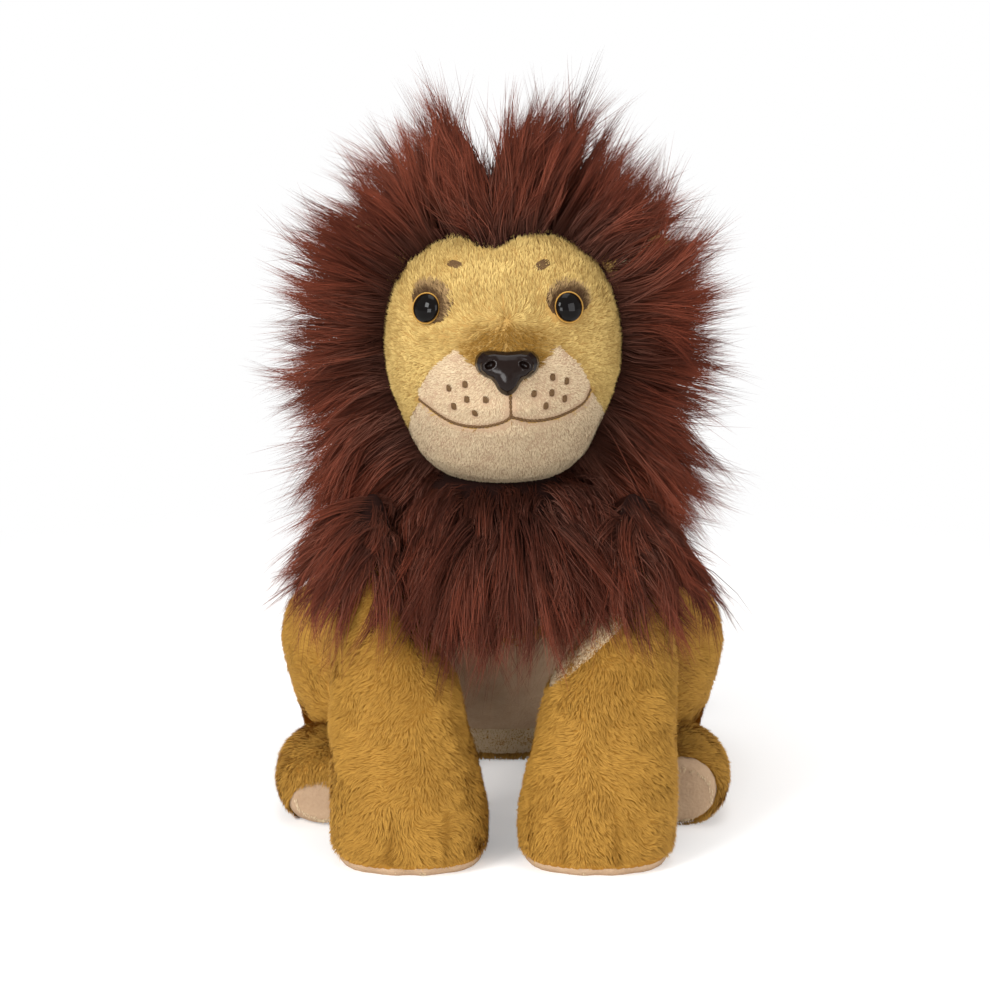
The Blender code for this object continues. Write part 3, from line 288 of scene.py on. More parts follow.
@dataclass(frozen=True)
class PlasticFinish(Finish):
    """Glossy moulded plastic with a very slight orange peel."""

    colour: tuple
    roughness: float
    specular: float = 0.5
    lift: float = 1.4

    def inputs(self, graph: Graph) -> dict:
        """Slightly uneven in Object coordinates."""
        noise = graph.noise(700.0, 2.0)
        lighter = tuple(min(channel * self.lift, 1.0) for channel in self.colour)
        return {
            "Base Color": graph.mix(noise, self.colour, lighter),
            "Roughness": noise * 0.08 + self.roughness,
            "Specular IOR Level": self.specular,
            "Normal": graph.bump(noise, 0.00004, 0.35),
        }


@dataclass(frozen=True)
class EyeFinish(Finish):
    """A safety eye: a black pupil in a thin amber ring under a clear cap."""

    stops: tuple

    def inputs(self, graph: Graph) -> dict:
        """Reads the dome's own UV map: up runs from the pupil's middle outwards."""
        return {
            "Base Color": graph.add("ShaderNodeValToRGB", {"stops": self.stops}, {0: graph.own_uv("Y")}),
            "Roughness": 0.06,
            "Specular IOR Level": 0.13,
        }


@dataclass(frozen=True)
class ThreadFinish(Finish):
    """Twisted embroidery thread."""

    dark: tuple
    light: tuple

    def inputs(self, graph: Graph) -> dict:
        """Fine fibres in Object coordinates."""
        noise = graph.noise(2600.0, 3.0)
        return {
            "Base Color": graph.mix(noise, self.dark, self.light),
            "Roughness": 0.60,
            "Specular IOR Level": 0.15,
            "Normal": graph.bump(noise, 0.0002, 0.5),
        }


GOLD_PILE = PileFinish(
    name="gold_pile",
    slot="gold_plush",
    dark_root=(0.200, 0.090, 0.012),
    light_root=(0.310, 0.148, 0.022),
    dark_tip=(0.310, 0.150, 0.021),
    light_tip=(0.600, 0.330, 0.064),
)
FACE_PILE = PileFinish(
    name="face_pile",
    slot="face_plush",
    dark_root=(0.110, 0.046, 0.005),
    light_root=(0.480, 0.300, 0.085),
    dark_tip=(0.310, 0.155, 0.022),
    light_tip=(0.860, 0.640, 0.240),
)
CREAM_PILE = PileFinish(
    name="cream_pile",
    slot="cream_plush",
    dark_root=(0.420, 0.300, 0.170),
    light_root=(0.560, 0.420, 0.260),
    dark_tip=(0.680, 0.520, 0.330),
    light_tip=(0.820, 0.680, 0.460),
)
PATCH_PILE = PileFinish(
    name="patch_pile",
    slot="eye_patch_plush",
    dark_root=(0.030, 0.012, 0.005),
    light_root=(0.120, 0.065, 0.026),
    dark_tip=(0.090, 0.045, 0.018),
    light_tip=(0.480, 0.310, 0.140),
)
MANE_PILE = PileFinish(
    name="mane_pile",
    slot="mane_fur",
    dark_root=(0.012, 0.003, 0.002),
    light_root=(0.032, 0.009, 0.005),
    dark_tip=(0.050, 0.0085, 0.0038),
    light_tip=(0.245, 0.052, 0.026),
    roughness=0.42,
    shine=0.32,
    glint=(1.0, 0.45, 0.32),
    deep=True,
)
GOLD_CLOTH = ClothFinish("gold_cloth", "gold_plush", (0.260, 0.120, 0.018), (0.400, 0.195, 0.032))
FACE_CLOTH = ClothFinish("face_cloth", "face_plush", (0.360, 0.200, 0.050), (0.520, 0.330, 0.110))
CREAM_CLOTH = ClothFinish("cream_cloth", "cream_plush", (0.360, 0.230, 0.140), (0.520, 0.370, 0.240))
PATCH_CLOTH = ClothFinish("patch_cloth", "eye_patch_plush", (0.050, 0.026, 0.011), (0.110, 0.060, 0.026))
MANE_CLOTH = ClothFinish("mane_cloth", "mane_fur", (0.008, 0.002, 0.0015), (0.020, 0.006, 0.004))
BAG_CLOTH = ClothFinish("bag_cloth", "bag_cloth", (0.62, 0.60, 0.56), (0.80, 0.79, 0.76))
NOSE_PLASTIC = PlasticFinish("nose_plastic", "nose_plastic", (0.008, 0.004, 0.003), 0.15, 0.19)
WASHER_PLASTIC = PlasticFinish("washer_plastic", "washer_plastic", (0.60, 0.59, 0.56), 0.45)
BROWN_THREAD = ThreadFinish("brown_thread", "brown_thread", (0.045, 0.021, 0.008), (0.210, 0.118, 0.050))
EYE_PLASTIC = EyeFinish(
    "eye_plastic",
    "eye_plastic",
    (
        (0.00, (0.004, 0.003, 0.003)),
        (0.66, (0.005, 0.004, 0.003)),
        (0.70, (0.060, 0.026, 0.008)),
        (0.74, (0.420, 0.210, 0.040)),
        (0.84, (0.700, 0.420, 0.110)),
        (0.95, (0.180, 0.080, 0.018)),
    ),
)


# Form and fur tools


def unit(vectors: Array) -> Array:
    """Rows scaled to length 1."""
    return vectors / np.maximum(np.linalg.norm(vectors, axis=-1, keepdims=True), 1e-12)


def rows(x: Part, y: Part, z: Part) -> Array:
    """Vectors, one a row, from parts of which at least one is an array."""
    return np.stack(np.broadcast_arrays(x, y, z), axis=-1)


def along_surface(vectors: Array, normals: Array) -> Array:
    """The part of each vector that lies in its surface, at length 1."""
    return unit(vectors - normals * (vectors * normals).sum(axis=-1, keepdims=True))


def lattice(cells: Array, seed: int) -> Array:
    """Three repeatable numbers from -1 to 1 for each whole-number cell."""
    cells = cells.astype(np.int64)
    mixed = (cells[..., 0] * 73856093) ^ (cells[..., 1] * 19349663) ^ (cells[..., 2] * 83492791)
    mixed = mixed ^ (seed * 2654435761)
    out = []
    for step in range(3):
        mixed = ((mixed ^ (mixed >> 13)) * 1274126177 + step * 374761393) & 0x7FFFFFFFFFFF
        out.append(((mixed ^ (mixed >> 16)) & 0xFFFF) / 32767.5 - 1.0)
    return np.stack(out, axis=-1)


def drift(points: Array, size: float, seed: int) -> Array:
    """Smooth vector noise.

    Args:
        points: places, one a row.
        size: the size of its features in metres.
        seed: which noise.

    Returns:
        A vector for each place, each part from -1 to 1.
    """
    scaled = points / size
    base = np.floor(scaled)
    part = scaled - base
    part = part * part * (3 - 2 * part)
    total = np.zeros_like(points)
    for corner in np.ndindex(2, 2, 2):
        weight = np.prod(np.where(np.array(corner) == 1, part, 1 - part), axis=-1, keepdims=True)
        total += weight * lattice(base + np.array(corner), seed)
    return total


def nearest_tuft(points: Array, size: float, seed: int) -> tuple[Array, Array]:
    """The middle of the tuft that each place belongs to, and a number from -1 to 1 for that tuft."""
    base = np.floor(points / size)
    best = np.full(len(points), np.inf)
    middle = np.zeros_like(points)
    tone = np.zeros(len(points))
    for corner in np.ndindex(3, 3, 3):
        cell = base + np.array(corner) - 1
        offset = lattice(cell, seed)
        spot = (cell + 0.5 + 0.45 * offset) * size
        distance = ((points - spot) ** 2).sum(axis=1)
        closer = distance < best
        best = np.where(closer, distance, best)
        middle = np.where(closer[:, None], spot, middle)
        tone = np.where(closer, offset[:, 0], tone)
    return middle, tone


def bell(distance: Array, width: float) -> Array:
    """1 at no distance, falling off over a width."""
    return np.exp(-0.5 * (distance / width) ** 2)


def ramp(values: Array, low: float, high: float) -> Array:
    """0 below one value and 1 above another, smooth between them."""
    part = np.clip((values - low) / (high - low), 0.0, 1.0)
    return part * part * (3 - 2 * part)


def near_spots(places: Array, spots: Sequence) -> Array:
    """The distance of each place from the nearest spot, seen from the front."""
    flat = places[:, [0, 2]]
    spots = np.array(spots)
    return np.sqrt(((flat[:, None, :] - spots[None, :, :]) ** 2).sum(axis=2)).min(axis=1)


def off_floor(places: Array) -> Array:
    """Nothing under the surface that rests on the floor."""
    return (places[:, 2] > 0.0012).astype(float)


def curves(first: Array, second: Array, third: Array, shares: Sequence) -> Array:
    """Points at shares along arcs that leave a first place towards a second and end at a third."""
    return np.stack([(1 - t) ** 2 * first + 2 * t * (1 - t) * second + t * t * third for t in shares], axis=1)


def add_object(name: str, data: bpy.types.ID) -> bpy.types.Object:
    """An object in the scene with the given data."""
    made = bpy.data.objects.new(name, data)
    bpy.context.scene.collection.objects.link(made)
    return made


def add_mesh(name: str, mesh: bmesh.types.BMesh) -> bpy.types.Object:
    """A smooth-shaded object from a bmesh, which is freed."""
    data = bpy.data.meshes.new(name)
    mesh.to_mesh(data)
    mesh.free()
    data.shade_smooth()
    return add_object(name, data)


def node_mesh(*names: str) -> bmesh.types.BMesh:
    """A merged copy of one or more CAD nodes."""
    mesh = bmesh.new()
    for name in names:
        mesh.from_mesh(frame["nodes"][name].data)
    bmesh.ops.remove_doubles(mesh, verts=mesh.verts, dist=WELD)
    return mesh


def node_points(name: str) -> Array:
    """The corners of a CAD node, each once."""
    mesh = node_mesh(name)
    points = np.array([list(vertex.co) for vertex in mesh.verts])
    mesh.free()
    return points


def stuffed(name: str, nodes: Sequence[str], voxel: float, passes: int, swell: float) -> bpy.types.Object:
    """A soft skin from CAD nodes: remeshed, smoothed and swollen back to size.

    Args:
        name: the piece's name.
        nodes: the CAD nodes that it takes its form from.
        voxel: the remesh size in millimetres.
        passes: how many smoothing passes.
        swell: how far the surface moves out afterwards, in millimetres.

    Returns:
        The object.
    """
    obj = add_mesh(name, node_mesh(*nodes))
    remesh = obj.modifiers.new("remesh", "REMESH")
    remesh.mode = "VOXEL"
    remesh.voxel_size = voxel * MM
    smooth = obj.modifiers.new("smooth", "SMOOTH")
    smooth.factor = 0.6
    smooth.iterations = passes
    displace = obj.modifiers.new("swell", "DISPLACE")
    displace.strength = swell * MM
    displace.mid_level = 0.0
    data = bpy.data.meshes.new_from_object(obj.evaluated_get(bpy.context.evaluated_depsgraph_get()))
    obj.modifiers.clear()
    old, obj.data = obj.data, data
    bpy.data.meshes.remove(old)
    data.shade_smooth()
    return obj


def cut_open(mesh: bmesh.types.BMesh, faces: Sequence[bmesh.types.BMFace]) -> None:
    """Takes faces off a closed mesh and closes it again behind them."""
    bmesh.ops.delete(mesh, geom=list(faces), context="FACES")
    loose = [vertex for vertex in mesh.verts if not vertex.link_faces]
    bmesh.ops.delete(mesh, geom=loose, context="VERTS")
    bmesh.ops.holes_fill(mesh, edges=[edge for edge in mesh.edges if edge.is_boundary], sides=0)
    bmesh.ops.triangulate(mesh, faces=[face for face in mesh.faces if len(face.verts) > 4])
    bmesh.ops.recalc_face_normals(mesh, faces=mesh.faces)


MATERIALS: dict[str, bpy.types.Material] = {}


def material_of(finish: Finish) -> bpy.types.Material:
    """A finish's material, made once."""
    if finish.name not in MATERIALS:
        MATERIALS[finish.name] = finish.make()
    return MATERIALS[finish.name]


def dress(obj: bpy.types.Object, finish: Finish, body: str, nodes: Sequence[str] = ()) -> bpy.types.Object:
    """Gives a piece its finish, its body and the CAD nodes that it stands for.

    Args:
        obj: the piece.
        finish: its finish.
        body: the body that it rides on, or nothing, where it is left unattached.
        nodes: the CAD nodes that it replaces.

    Returns:
        The piece.
    """
    obj.data.materials.clear()
    obj.data.materials.append(material_of(finish))
    if body:
        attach(obj, body)
    if nodes:
        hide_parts(*nodes)
    obj.data.calc_loop_triangles()
    LOG.info("%s: %d triangles on %s", obj.name, len(obj.data.loop_triangles), body or "two bodies")
    return obj


@dataclass
class Skin:
    """A finished surface, for growing pile on and for seating small pieces."""

    points: Array
    normals: Array
    triangles: Array
    tree: BVHTree
    proud: float = 0.0

    @property
    def box(self) -> tuple[Array, Array]:
        """The lowest and highest corners."""
        return self.points.min(axis=0), self.points.max(axis=0)

    @classmethod
    def read(cls, *objects: bpy.types.Object) -> "Skin":
        """Reads the meshes of one or more objects."""
        points, normals, triangles, first = [], [], [], 0
        for obj in objects:
            mesh = obj.data
            mesh.calc_loop_triangles()
            place = np.empty(len(mesh.vertices) * 3)
            mesh.vertices.foreach_get("co", place)
            outward = np.empty(len(mesh.vertices) * 3)
            mesh.vertices.foreach_get("normal", outward)
            corners = np.empty(len(mesh.loop_triangles) * 3, np.int32)
            mesh.loop_triangles.foreach_get("vertices", corners)
            points.append(place.reshape(-1, 3))
            normals.append(outward.reshape(-1, 3))
            triangles.append(corners.reshape(-1, 3) + first)
            first += len(mesh.vertices)
        joined = np.concatenate(points), np.concatenate(normals), np.concatenate(triangles)
        return cls(*joined, BVHTree.FromPolygons(joined[0].tolist(), joined[2].tolist()))

    def sample(self, density: float, rng: np.random.Generator) -> tuple[Array, Array]:
        """Random places on the skin.

        Args:
            density: how many to a square millimetre.
            rng: the random source.

        Returns:
            The places and the outward directions there.
        """
        corners = self.points[self.triangles]
        sides = corners[:, 1] - corners[:, 0], corners[:, 2] - corners[:, 0]
        areas = np.linalg.norm(np.cross(*sides), axis=1) / 2
        count = int(areas.sum() / MM**2 * density)
        chosen = rng.choice(len(areas), count, p=areas / areas.sum())
        a, b = np.sqrt(rng.random((count, 1))), rng.random((count, 1))
        weights = np.stack([1 - a, a * (1 - b), a * b], axis=1)
        places = (corners[chosen] * weights).sum(axis=1)
        outward = (self.normals[self.triangles[chosen]] * weights).sum(axis=1)
        return places, unit(outward)

    def clear_of(self, places: Array, outward: Array, reach: float, lift: float) -> Array:
        """Tells which places this skin leaves open.

        Args:
            places: the places.
            outward: the outward directions there.
            reach: how much room is needed over each place.
            lift: how far over the place the room starts.

        Returns:
            True where the place is outside this skin and nothing lies over it within reach.
        """
        free = np.ones(len(places), bool)
        starts = places + outward * (lift - self.proud)
        low, high = self.box
        close = ((starts > low - reach) & (starts < high + reach)).all(axis=1)
        for index in np.flatnonzero(close).tolist():
            way = Vector(outward[index])
            _, normal, _, distance = self.tree.ray_cast(starts[index], way)
            free[index] = normal is None or (distance > reach and normal.dot(way) < 0)
        return free

    def touch(self, x: float, z: float, start: float = -0.3) -> tuple[Vector, Vector]:
        """Where a line along +Y first meets the skin, and its outward direction."""
        place, normal, _, _ = self.tree.ray_cast((x, start, z), (0, 1, 0))
        return place, normal

    def push_out(self, places: Array, gap: float) -> Array:
        """Moves places that are inside the skin, or closer than a gap, out to the gap."""
        moved = places.copy()
        for index, place in enumerate(places.tolist()):
            nearest, normal, _, _ = self.tree.find_nearest(place)
            beyond = (Vector(place) - nearest).dot(normal)
            if beyond < gap:
                moved[index] = Vector(place) + normal * (gap - beyond)
        return moved


@dataclass(frozen=True)
class Fibres:
    """Flat fibres: runs of points with widths, a tone, and the way that the pile faces."""

    paths: Array
    widths: Array
    tones: Array
    outward: Array
    turns: Array
    softness: float

    @classmethod
    def joined(cls, parts: Sequence["Fibres"]) -> "Fibres":
        """Several runs of fibres as one."""
        names = ("paths", "widths", "tones", "outward", "turns")
        values = (np.concatenate([getattr(part, name) for part in parts]) for name in names)
        return cls(*values, parts[0].softness)

    def make(self, name: str) -> bpy.types.Object:
        """Builds the fibres as one mesh with their own UV map, and normals that follow the pile."""
        count, steps, _ = self.paths.shape
        ahead = unit(np.gradient(self.paths, axis=1))
        upright = along_surface(np.broadcast_to(self.outward[:, None, :], ahead.shape), ahead)
        turn = self.turns[:, None, None]
        facing = upright * np.cos(turn) + np.cross(ahead, upright) * np.sin(turn)
        half = np.cross(ahead, facing) * self.widths[:, :, None] / 2
        inner = self.paths[:, 1:-1], half[:, 1:-1]
        sides = np.stack([inner[0] - inner[1], inner[0] + inner[1]], axis=2).reshape(count, -1, 3)
        points = np.concatenate([self.paths[:, :1], sides, self.paths[:, -1:]], axis=1)
        per = points.shape[1]
        local, shape = [0, 2, 3, 1], [4]
        if steps > 3:
            between = [2 * row + corner for row in range(steps - 3) for corner in (1, 2, 4, 3)]
            local = [0, 2, 1, *between, per - 3, per - 2, per - 1]
            shape = [3] + [4] * (steps - 3) + [3]
        loops = (np.arange(count)[:, None] * per + np.array(local)[None, :]).reshape(-1)
        sizes = np.tile(shape, count)
        starts = np.concatenate([[0], np.cumsum(sizes)[:-1]])
        mesh = bpy.data.meshes.new(name)
        mesh.vertices.add(count * per)
        mesh.vertices.foreach_set("co", points.reshape(-1).astype(np.float32))
        mesh.loops.add(len(loops))
        mesh.loops.foreach_set("vertex_index", loops.astype(np.int32))
        mesh.polygons.add(len(sizes))
        mesh.polygons.foreach_set("loop_start", starts.astype(np.int32))
        up = np.broadcast_to(np.repeat(np.linspace(0.01, 0.99, steps), 2)[1:-1], (count, per))
        over = np.clip(self.tones[:, None], 0.02, 0.98) + np.tile([0.002, -0.002], steps)[1:-1]
        uv = np.stack([over, up], axis=-1).reshape(-1, 2)[loops]
        mesh.uv_layers.new(name=UV_NAME).data.foreach_set("uv", uv.reshape(-1).astype(np.float32))
        mesh.update(calc_edges=True)
        mesh.polygons.foreach_set("use_smooth", np.ones(len(sizes), bool))
        soft = self.outward[:, None, :] * self.softness + facing * (1 - self.softness)
        normals = np.repeat(unit(soft), 2, axis=1)[:, 1:-1].reshape(-1, 3)
        mesh.normals_split_custom_set_from_vertices(normals.tolist())
        return add_object(name, mesh)


@dataclass(frozen=True)
class Coat:
    """How a pile grows: sizes in metres, angles in degrees, density to a square millimetre."""

    density: float
    length: float
    width: float
    lean: float
    curl: float
    tuft: float
    gather: float
    swirl: float
    patchy: float

    ROOT_DEPTH = 0.3 * MM
    MOST_LEAN = math.radians(86)

    def grow(
        self,
        name: str,
        skin: Skin,
        seed: int,
        comb: Comb,
        keep: Optional[Field] = None,
        cover: Sequence[Skin] = (),
        shade: Optional[Field] = None,
        trim: Optional[Field] = None,
    ) -> bpy.types.Object:
        """Grows the pile.

        Args:
            name: the piece's name.
            skin: what it grows on.
            seed: the random source's seed.
            comb: the way that it is combed at places and outward directions.
            keep: how likely a fibre is at a place, from 0 to 1.
            cover: the other skins, which may lie over this one.
            shade: what is added to the tone at a place; the callers pass painted shade for folds and shaded
                parts, and an eye patch's own darkening.
            trim: how long the pile is at a place, as a share.

        Returns:
            The object.
        """
        rng = np.random.default_rng(seed)
        places, outward = skin.sample(self.density, rng)
        if keep:
            chosen = rng.random(len(places)) < keep(places)
            places, outward = places[chosen], outward[chosen]
        for other in cover:
            chosen = other.clear_of(places, outward, self.length * 0.8, 0.05 * MM)
            places, outward = places[chosen], outward[chosen]
        count = len(places)
        wide = drift(places, self.tuft * 3.1, seed)
        fine = drift(places, self.tuft * 1.3, seed + 1)
        ahead = along_surface(comb(places, outward), outward)
        ahead = along_surface(ahead + self.swirl * wide + self.swirl * 0.6 * fine, outward)
        share = trim(places) if trim else np.ones(count)
        length = self.length * share * (0.82 + 0.18 * wide[:, 1] + 0.12 * rng.normal(size=count))
        length = np.clip(length, self.length * 0.12, self.length * 1.25)[:, None]
        lean = np.radians(self.lean + 12 * wide[:, 2] + 7 * rng.normal(size=count))[:, None]
        tip_lean = np.minimum(lean + math.radians(self.curl), self.MOST_LEAN)
        middle, tuft_tone = nearest_tuft(places, self.tuft, seed + 2)
        draw = middle - places
        draw -= outward * (draw * outward).sum(axis=1, keepdims=True)
        draw *= self.gather * np.minimum(share, 1.0)[:, None]
        root = places - outward * self.ROOT_DEPTH
        elbow = root + length * 0.45 * (outward * np.cos(lean) + ahead * np.sin(lean)) + draw * 0.3
        tip = elbow + length * 0.55 * (outward * np.cos(tip_lean) + ahead * np.sin(tip_lean)) + draw * 0.7
        tones = 0.5 + self.patchy * (0.45 * wide[:, 0] + 0.35 * fine[:, 0] + 0.40 * tuft_tone)
        tones += 0.10 * rng.normal(size=count)
        if shade:
            tones += shade(places)
        widths = self.width * (0.8 + 0.4 * rng.random((count, 1))) * np.array([[0.0, 1.0, 0.0]])
        paths = np.stack([root, elbow, tip], axis=1)
        return Fibres(paths, widths, tones, outward, rng.uniform(-0.8, 0.8, count), 0.70).make(name)


# Sub-assemblies


@dataclass
class Studio:
    """The camera, the pale floor and soft light."""

    camera_place: tuple = (-0.003, -1.230, 0.357)
    camera_pitch: float = 11.5
    camera_end: float = 100.0
    sensor: float = 36.0
    lens: float = 109.8
    floor_size: float = 24.0
    floor_colour: tuple = (0.86, 0.85, 0.84)
    floor_glow: float = 0.30
    near_ring: float = 0.17
    far_ring: float = 0.50
    surround_light: float = 0.50
    aim: tuple = (0, -0.08, 0.15)

    LAMPS = {
        "key": ((-0.95, -1.25, 1.00), 0.62, 21.0),
        "fill": ((1.20, -1.05, 0.50), 0.90, 11.0),
        "front": ((-0.50, -1.55, 0.14), 0.70, 16.0),
        "top": ((0.10, -0.10, 1.50), 0.90, 7.0),
    }

    def build(self) -> None:
        """Makes the camera, the floor, the world and the lamps."""
        data = bpy.data.cameras.new("camera")
        data.sensor_width, data.lens, data.clip_end = self.sensor, self.lens, self.camera_end
        camera = add_object("camera", data)
        camera.location = self.camera_place
        camera.rotation_euler = (math.radians(90.0 - self.camera_pitch), 0, 0)
        bpy.context.scene.camera = camera
        bpy.context.scene.view_settings.view_transform = "Standard"
        self._floor()
        self._world()
        for name, (place, size, power) in self.LAMPS.items():
            self._lamp(name, place, size, power)

    def _floor(self) -> None:
        """The floor, which keeps the shadows near the lion and fades to white round it."""
        mesh = bmesh.new()
        bmesh.ops.create_grid(mesh, x_segments=1, y_segments=1, size=self.floor_size / 2)
        graph, material = Graph.material("floor")
        place = graph.add("ShaderNodeTexCoord", {}, {}, "Object")
        distance = graph.add("ShaderNodeVectorMath", {"operation": "LENGTH"}, {0: place}, "Value")
        inputs = {"Value": distance, "From Min": self.near_ring, "From Max": self.far_ring}
        far = graph.add("ShaderNodeMapRange", {"interpolation_type": "SMOOTHSTEP"}, inputs)
        kinds = ("Camera", "Glossy", "Transmission")
        camera, glossy, clear = (graph.add("ShaderNodeLightPath", {}, {}, f"Is {kind} Ray") for kind in kinds)
        seen = (camera + glossy + clear).clamp()
        matte = graph.add("ShaderNodeBsdfDiffuse", {}, {"Color": self.floor_colour})
        near = graph.add("ShaderNodeAddShader", {}, {0: matte, 1: graph.glow(seen * self.floor_glow)})
        white = graph.glow(self._lit(seen))
        graph.surface(graph.add("ShaderNodeMixShader", {}, {0: far, 1: near, 2: white}))
        floor = add_mesh("floor", mesh)
        floor.data.materials.append(material)

    def _lit(self, seen: Value) -> Value:
        """Full white where it is seen, and a share of it as light."""
        return seen * (1.0 - self.surround_light) + self.surround_light

    def _world(self) -> None:
        """A white surround for the camera, and a soft grey light."""
        world = bpy.data.worlds.new("studio")
        world.use_nodes = True
        bpy.context.scene.world = world
        graph = Graph(world.node_tree)
        strength = self._lit(graph.add("ShaderNodeLightPath", {}, {}, "Is Camera Ray"))
        light = graph.add("ShaderNodeBackground", {}, {"Color": (1, 1, 1), "Strength": strength})
        graph.add("ShaderNodeOutputWorld", {}, {"Surface": light})

    def _lamp(self, name: str, place: tuple, size: float, power: float) -> None:
        """A square softbox that faces the lion's chest."""
        data = bpy.data.lights.new(name, "AREA")
        data.shape, data.size, data.energy = "SQUARE", size, power
        lamp = add_object(name, data)
        lamp.location = place
        lamp.rotation_euler = (Vector(self.aim) - Vector(place)).to_track_quat("-Z", "Y").to_euler()


@dataclass
class Face:
    """The stuffed head with its panels, pile, eyes, nose and stitching."""

    half_width: float = 0.0455
    height: float = 0.0975
    neck: float = 0.135
    rim_lead: float = 0.0080
    ear_lead: float = 0.0050
    crown: float = 0.2275
    bridge: float = 0.1935
    eye_radius: float = 0.0060
    eye_dome: float = 0.0046
    eye_rim: float = 0.0008
    gaze: tuple = (0.0, -0.98, 0.20)
    nose_place: tuple = (0.0014, 0.1820)
    thread_radius: float = 0.68 * MM
    stitch: float = 0.0016
    face_coat: Coat = Coat(6.0, 0.0026, 0.00027, 50.0, 26.0, 0.0022, 0.42, 0.40, 0.30)
    cream_coat: Coat = Coat(7.4, 0.0016, 0.00023, 50.0, 24.0, 0.0015, 0.35, 0.35, 0.25)
    patch_coat: Coat = Coat(9.0, 0.0022, 0.00022, 48.0, 24.0, 0.0016, 0.35, 0.40, 0.50)
    edge_coat: Coat = Coat(15.0, 0.0024, 0.00028, 52.0, 24.0, 0.0022, 0.30, 0.40, 0.30)
    patch_forms: tuple = ((-0.0006, 0.0010, 0.0084, 0.0080), (0.0014, 0.0018, 0.0080, 0.0084))

    PANELS = ("muzzle_left", "muzzle_right", "chin", "eye_patch_left", "eye_patch_right")
    MOUTH_SHARES = {
        "right": ((0.062, 0.319), (-0.020, 0.295), (-0.211, 0.273), (-0.435, 0.282), (-0.686, 0.346)),
        "left": ((0.062, 0.319), (0.237, 0.296), (0.446, 0.299), (0.646, 0.333), (0.714, 0.384)),
    }
    PHILTRUM_SHARES = ((0.055, 0.400), (0.058, 0.366), (0.062, 0.319))
    DOTS = range(1, 7)

    def build(self) -> None:
        """Makes every piece of the face."""
        whole = stuffed("head_skin", ("head", *self.PANELS), 1.3, 10, 0.10)
        dress(whole, FACE_CLOTH, "head", ["head"])
        self.head_skin = whole
        self.skin = Skin.read(whole)
        self.rim_line = self._widest()
        panels = {}
        for name in self.PANELS:
            finish = PATCH_CLOTH if name.startswith("eye") else CREAM_CLOTH
            voxel = 0.85 if name == "chin" else 0.60
            obj = dress(stuffed(f"{name}_skin", (name,), voxel, 6, 0.30), finish, "head", [name])
            panels[name] = obj
        self.panel_skins = {name: Skin.read(obj) for name, obj in panels.items()}
        self.panels = Skin.read(*panels.values())
        self.front = Skin.read(whole, *panels.values())
        self.mouth = {name: self._run(shares) for name, shares in self.MOUTH_SHARES.items()}
        self.philtrum = self._run(self.PHILTRUM_SHARES)
        self.eye_places = [self._eye(side) for side in Side]
        dress(stuffed("nose_moulding", ("nose",), 0.30, 10, 0.14), NOSE_PLASTIC, "head", ["nose"])
        self._stitches()
        self._pile()

    def _widest(self, step: float = 2 * MM, band: float = 1.5 * MM, side: float = 0.3 * MM) -> Array:
        """Where the head is widest at each height, as rows of Z and Y, from bands of the skin."""
        table = []
        for z in np.arange(self.neck + step, self.skin.box[1][2] - 1 * MM, step):
            points = self.skin.points[np.abs(self.skin.points[:, 2] - z) < band]
            across = np.abs(points[:, 0])
            table.append((z, points[across > across.max() - side][:, 1].mean()))
        table = np.array(table)
        padded = np.pad(table[:, 1], 4, mode="edge")
        table[:, 1] = np.convolve(padded, np.ones(9) / 9, mode="valid")
        return table

    def behind_rim(self, places: Array) -> Array:
        """How far each place lies behind the hairline: below zero on the face."""
        x, y, z = places.T
        rim = np.interp(z, self.rim_line[:, 0], self.rim_line[:, 1]) - self.rim_lead
        rim = rim - bell(z - EAR_HEIGHT, 0.012) * self.ear_lead
        notch = bell(x + 5 * MM, 4.5 * MM) * 4 * MM
        return np.maximum(y - rim, z - (self.crown - notch))

    def _place(self, shares: Sequence[float]) -> tuple[float, float]:
        """A place on the face as X and Z, from shares of half its width and of its height."""
        return shares[0] * self.half_width, self.neck + shares[1] * self.height

    def _run(self, shares: Sequence, steps: int = 8) -> Array:
        """A smooth line over the face, as rows of X and Z."""
        points = np.array([self._place(pair) for pair in shares])
        table = np.vstack([2 * points[0] - points[1], points, 2 * points[-1] - points[-2]])
        line = []
        for index in range(len(points) - 1):
            a, b, c, d = table[index : index + 4]
            for t in (step / steps for step in range(steps)):
                bend = (2 * a - 5 * b + 4 * c - d) * t**2 + (3 * b - a - 3 * c + d) * t**3
                line.append(0.5 * (2 * b + (c - a) * t + bend))
        return np.array([*line, points[-1]])

    def _near_mouth(self, places: Array) -> Array:
        """The distance of each place from the mouth's stitching, seen from the front."""
        return near_spots(places, np.concatenate([*self.mouth.values(), self.philtrum]))

    def _on_patch(self, places: Array, size: float) -> Array:
        """How sure it is that a place is on the dark part of an eye patch, whose edge is ragged."""
        flat = places[:, [0, 2]]
        nearest = np.full(len(places), np.inf)
        for (x, z), (across, up, wide, high) in zip(self.eye_places, self.patch_forms):
            offset = (flat - np.array([x + across, z + up])) / np.array([wide, high]) / size
            nearest = np.minimum(nearest, np.linalg.norm(offset, axis=1))
        ragged = nearest + 0.16 * drift(places, 0.0022, 17)[:, 0]
        return ramp(-ragged, -1.12, -0.90)

    def _comb(self, places: Array, outward: Array) -> Array:
        """Away from the nose, up over the forehead, and aside from the parting over the nose."""
        x, _, z = places.T
        away = unit(places - np.array([self.nose_place[0], -0.145, self.nose_place[1] + 0.002]))
        up = rows(0.0, 0.0, ramp(z, 0.198, 0.215) * 1.2)
        across = x - self.nose_place[0]
        near = bell(across, 0.010) * bell(z - 0.1945, 0.005)
        aside = rows(np.tanh(across / 0.0025), 0.0, -0.9)
        return away * (1 - 0.9 * near)[:, None] + up + aside * near[:, None] * 1.3

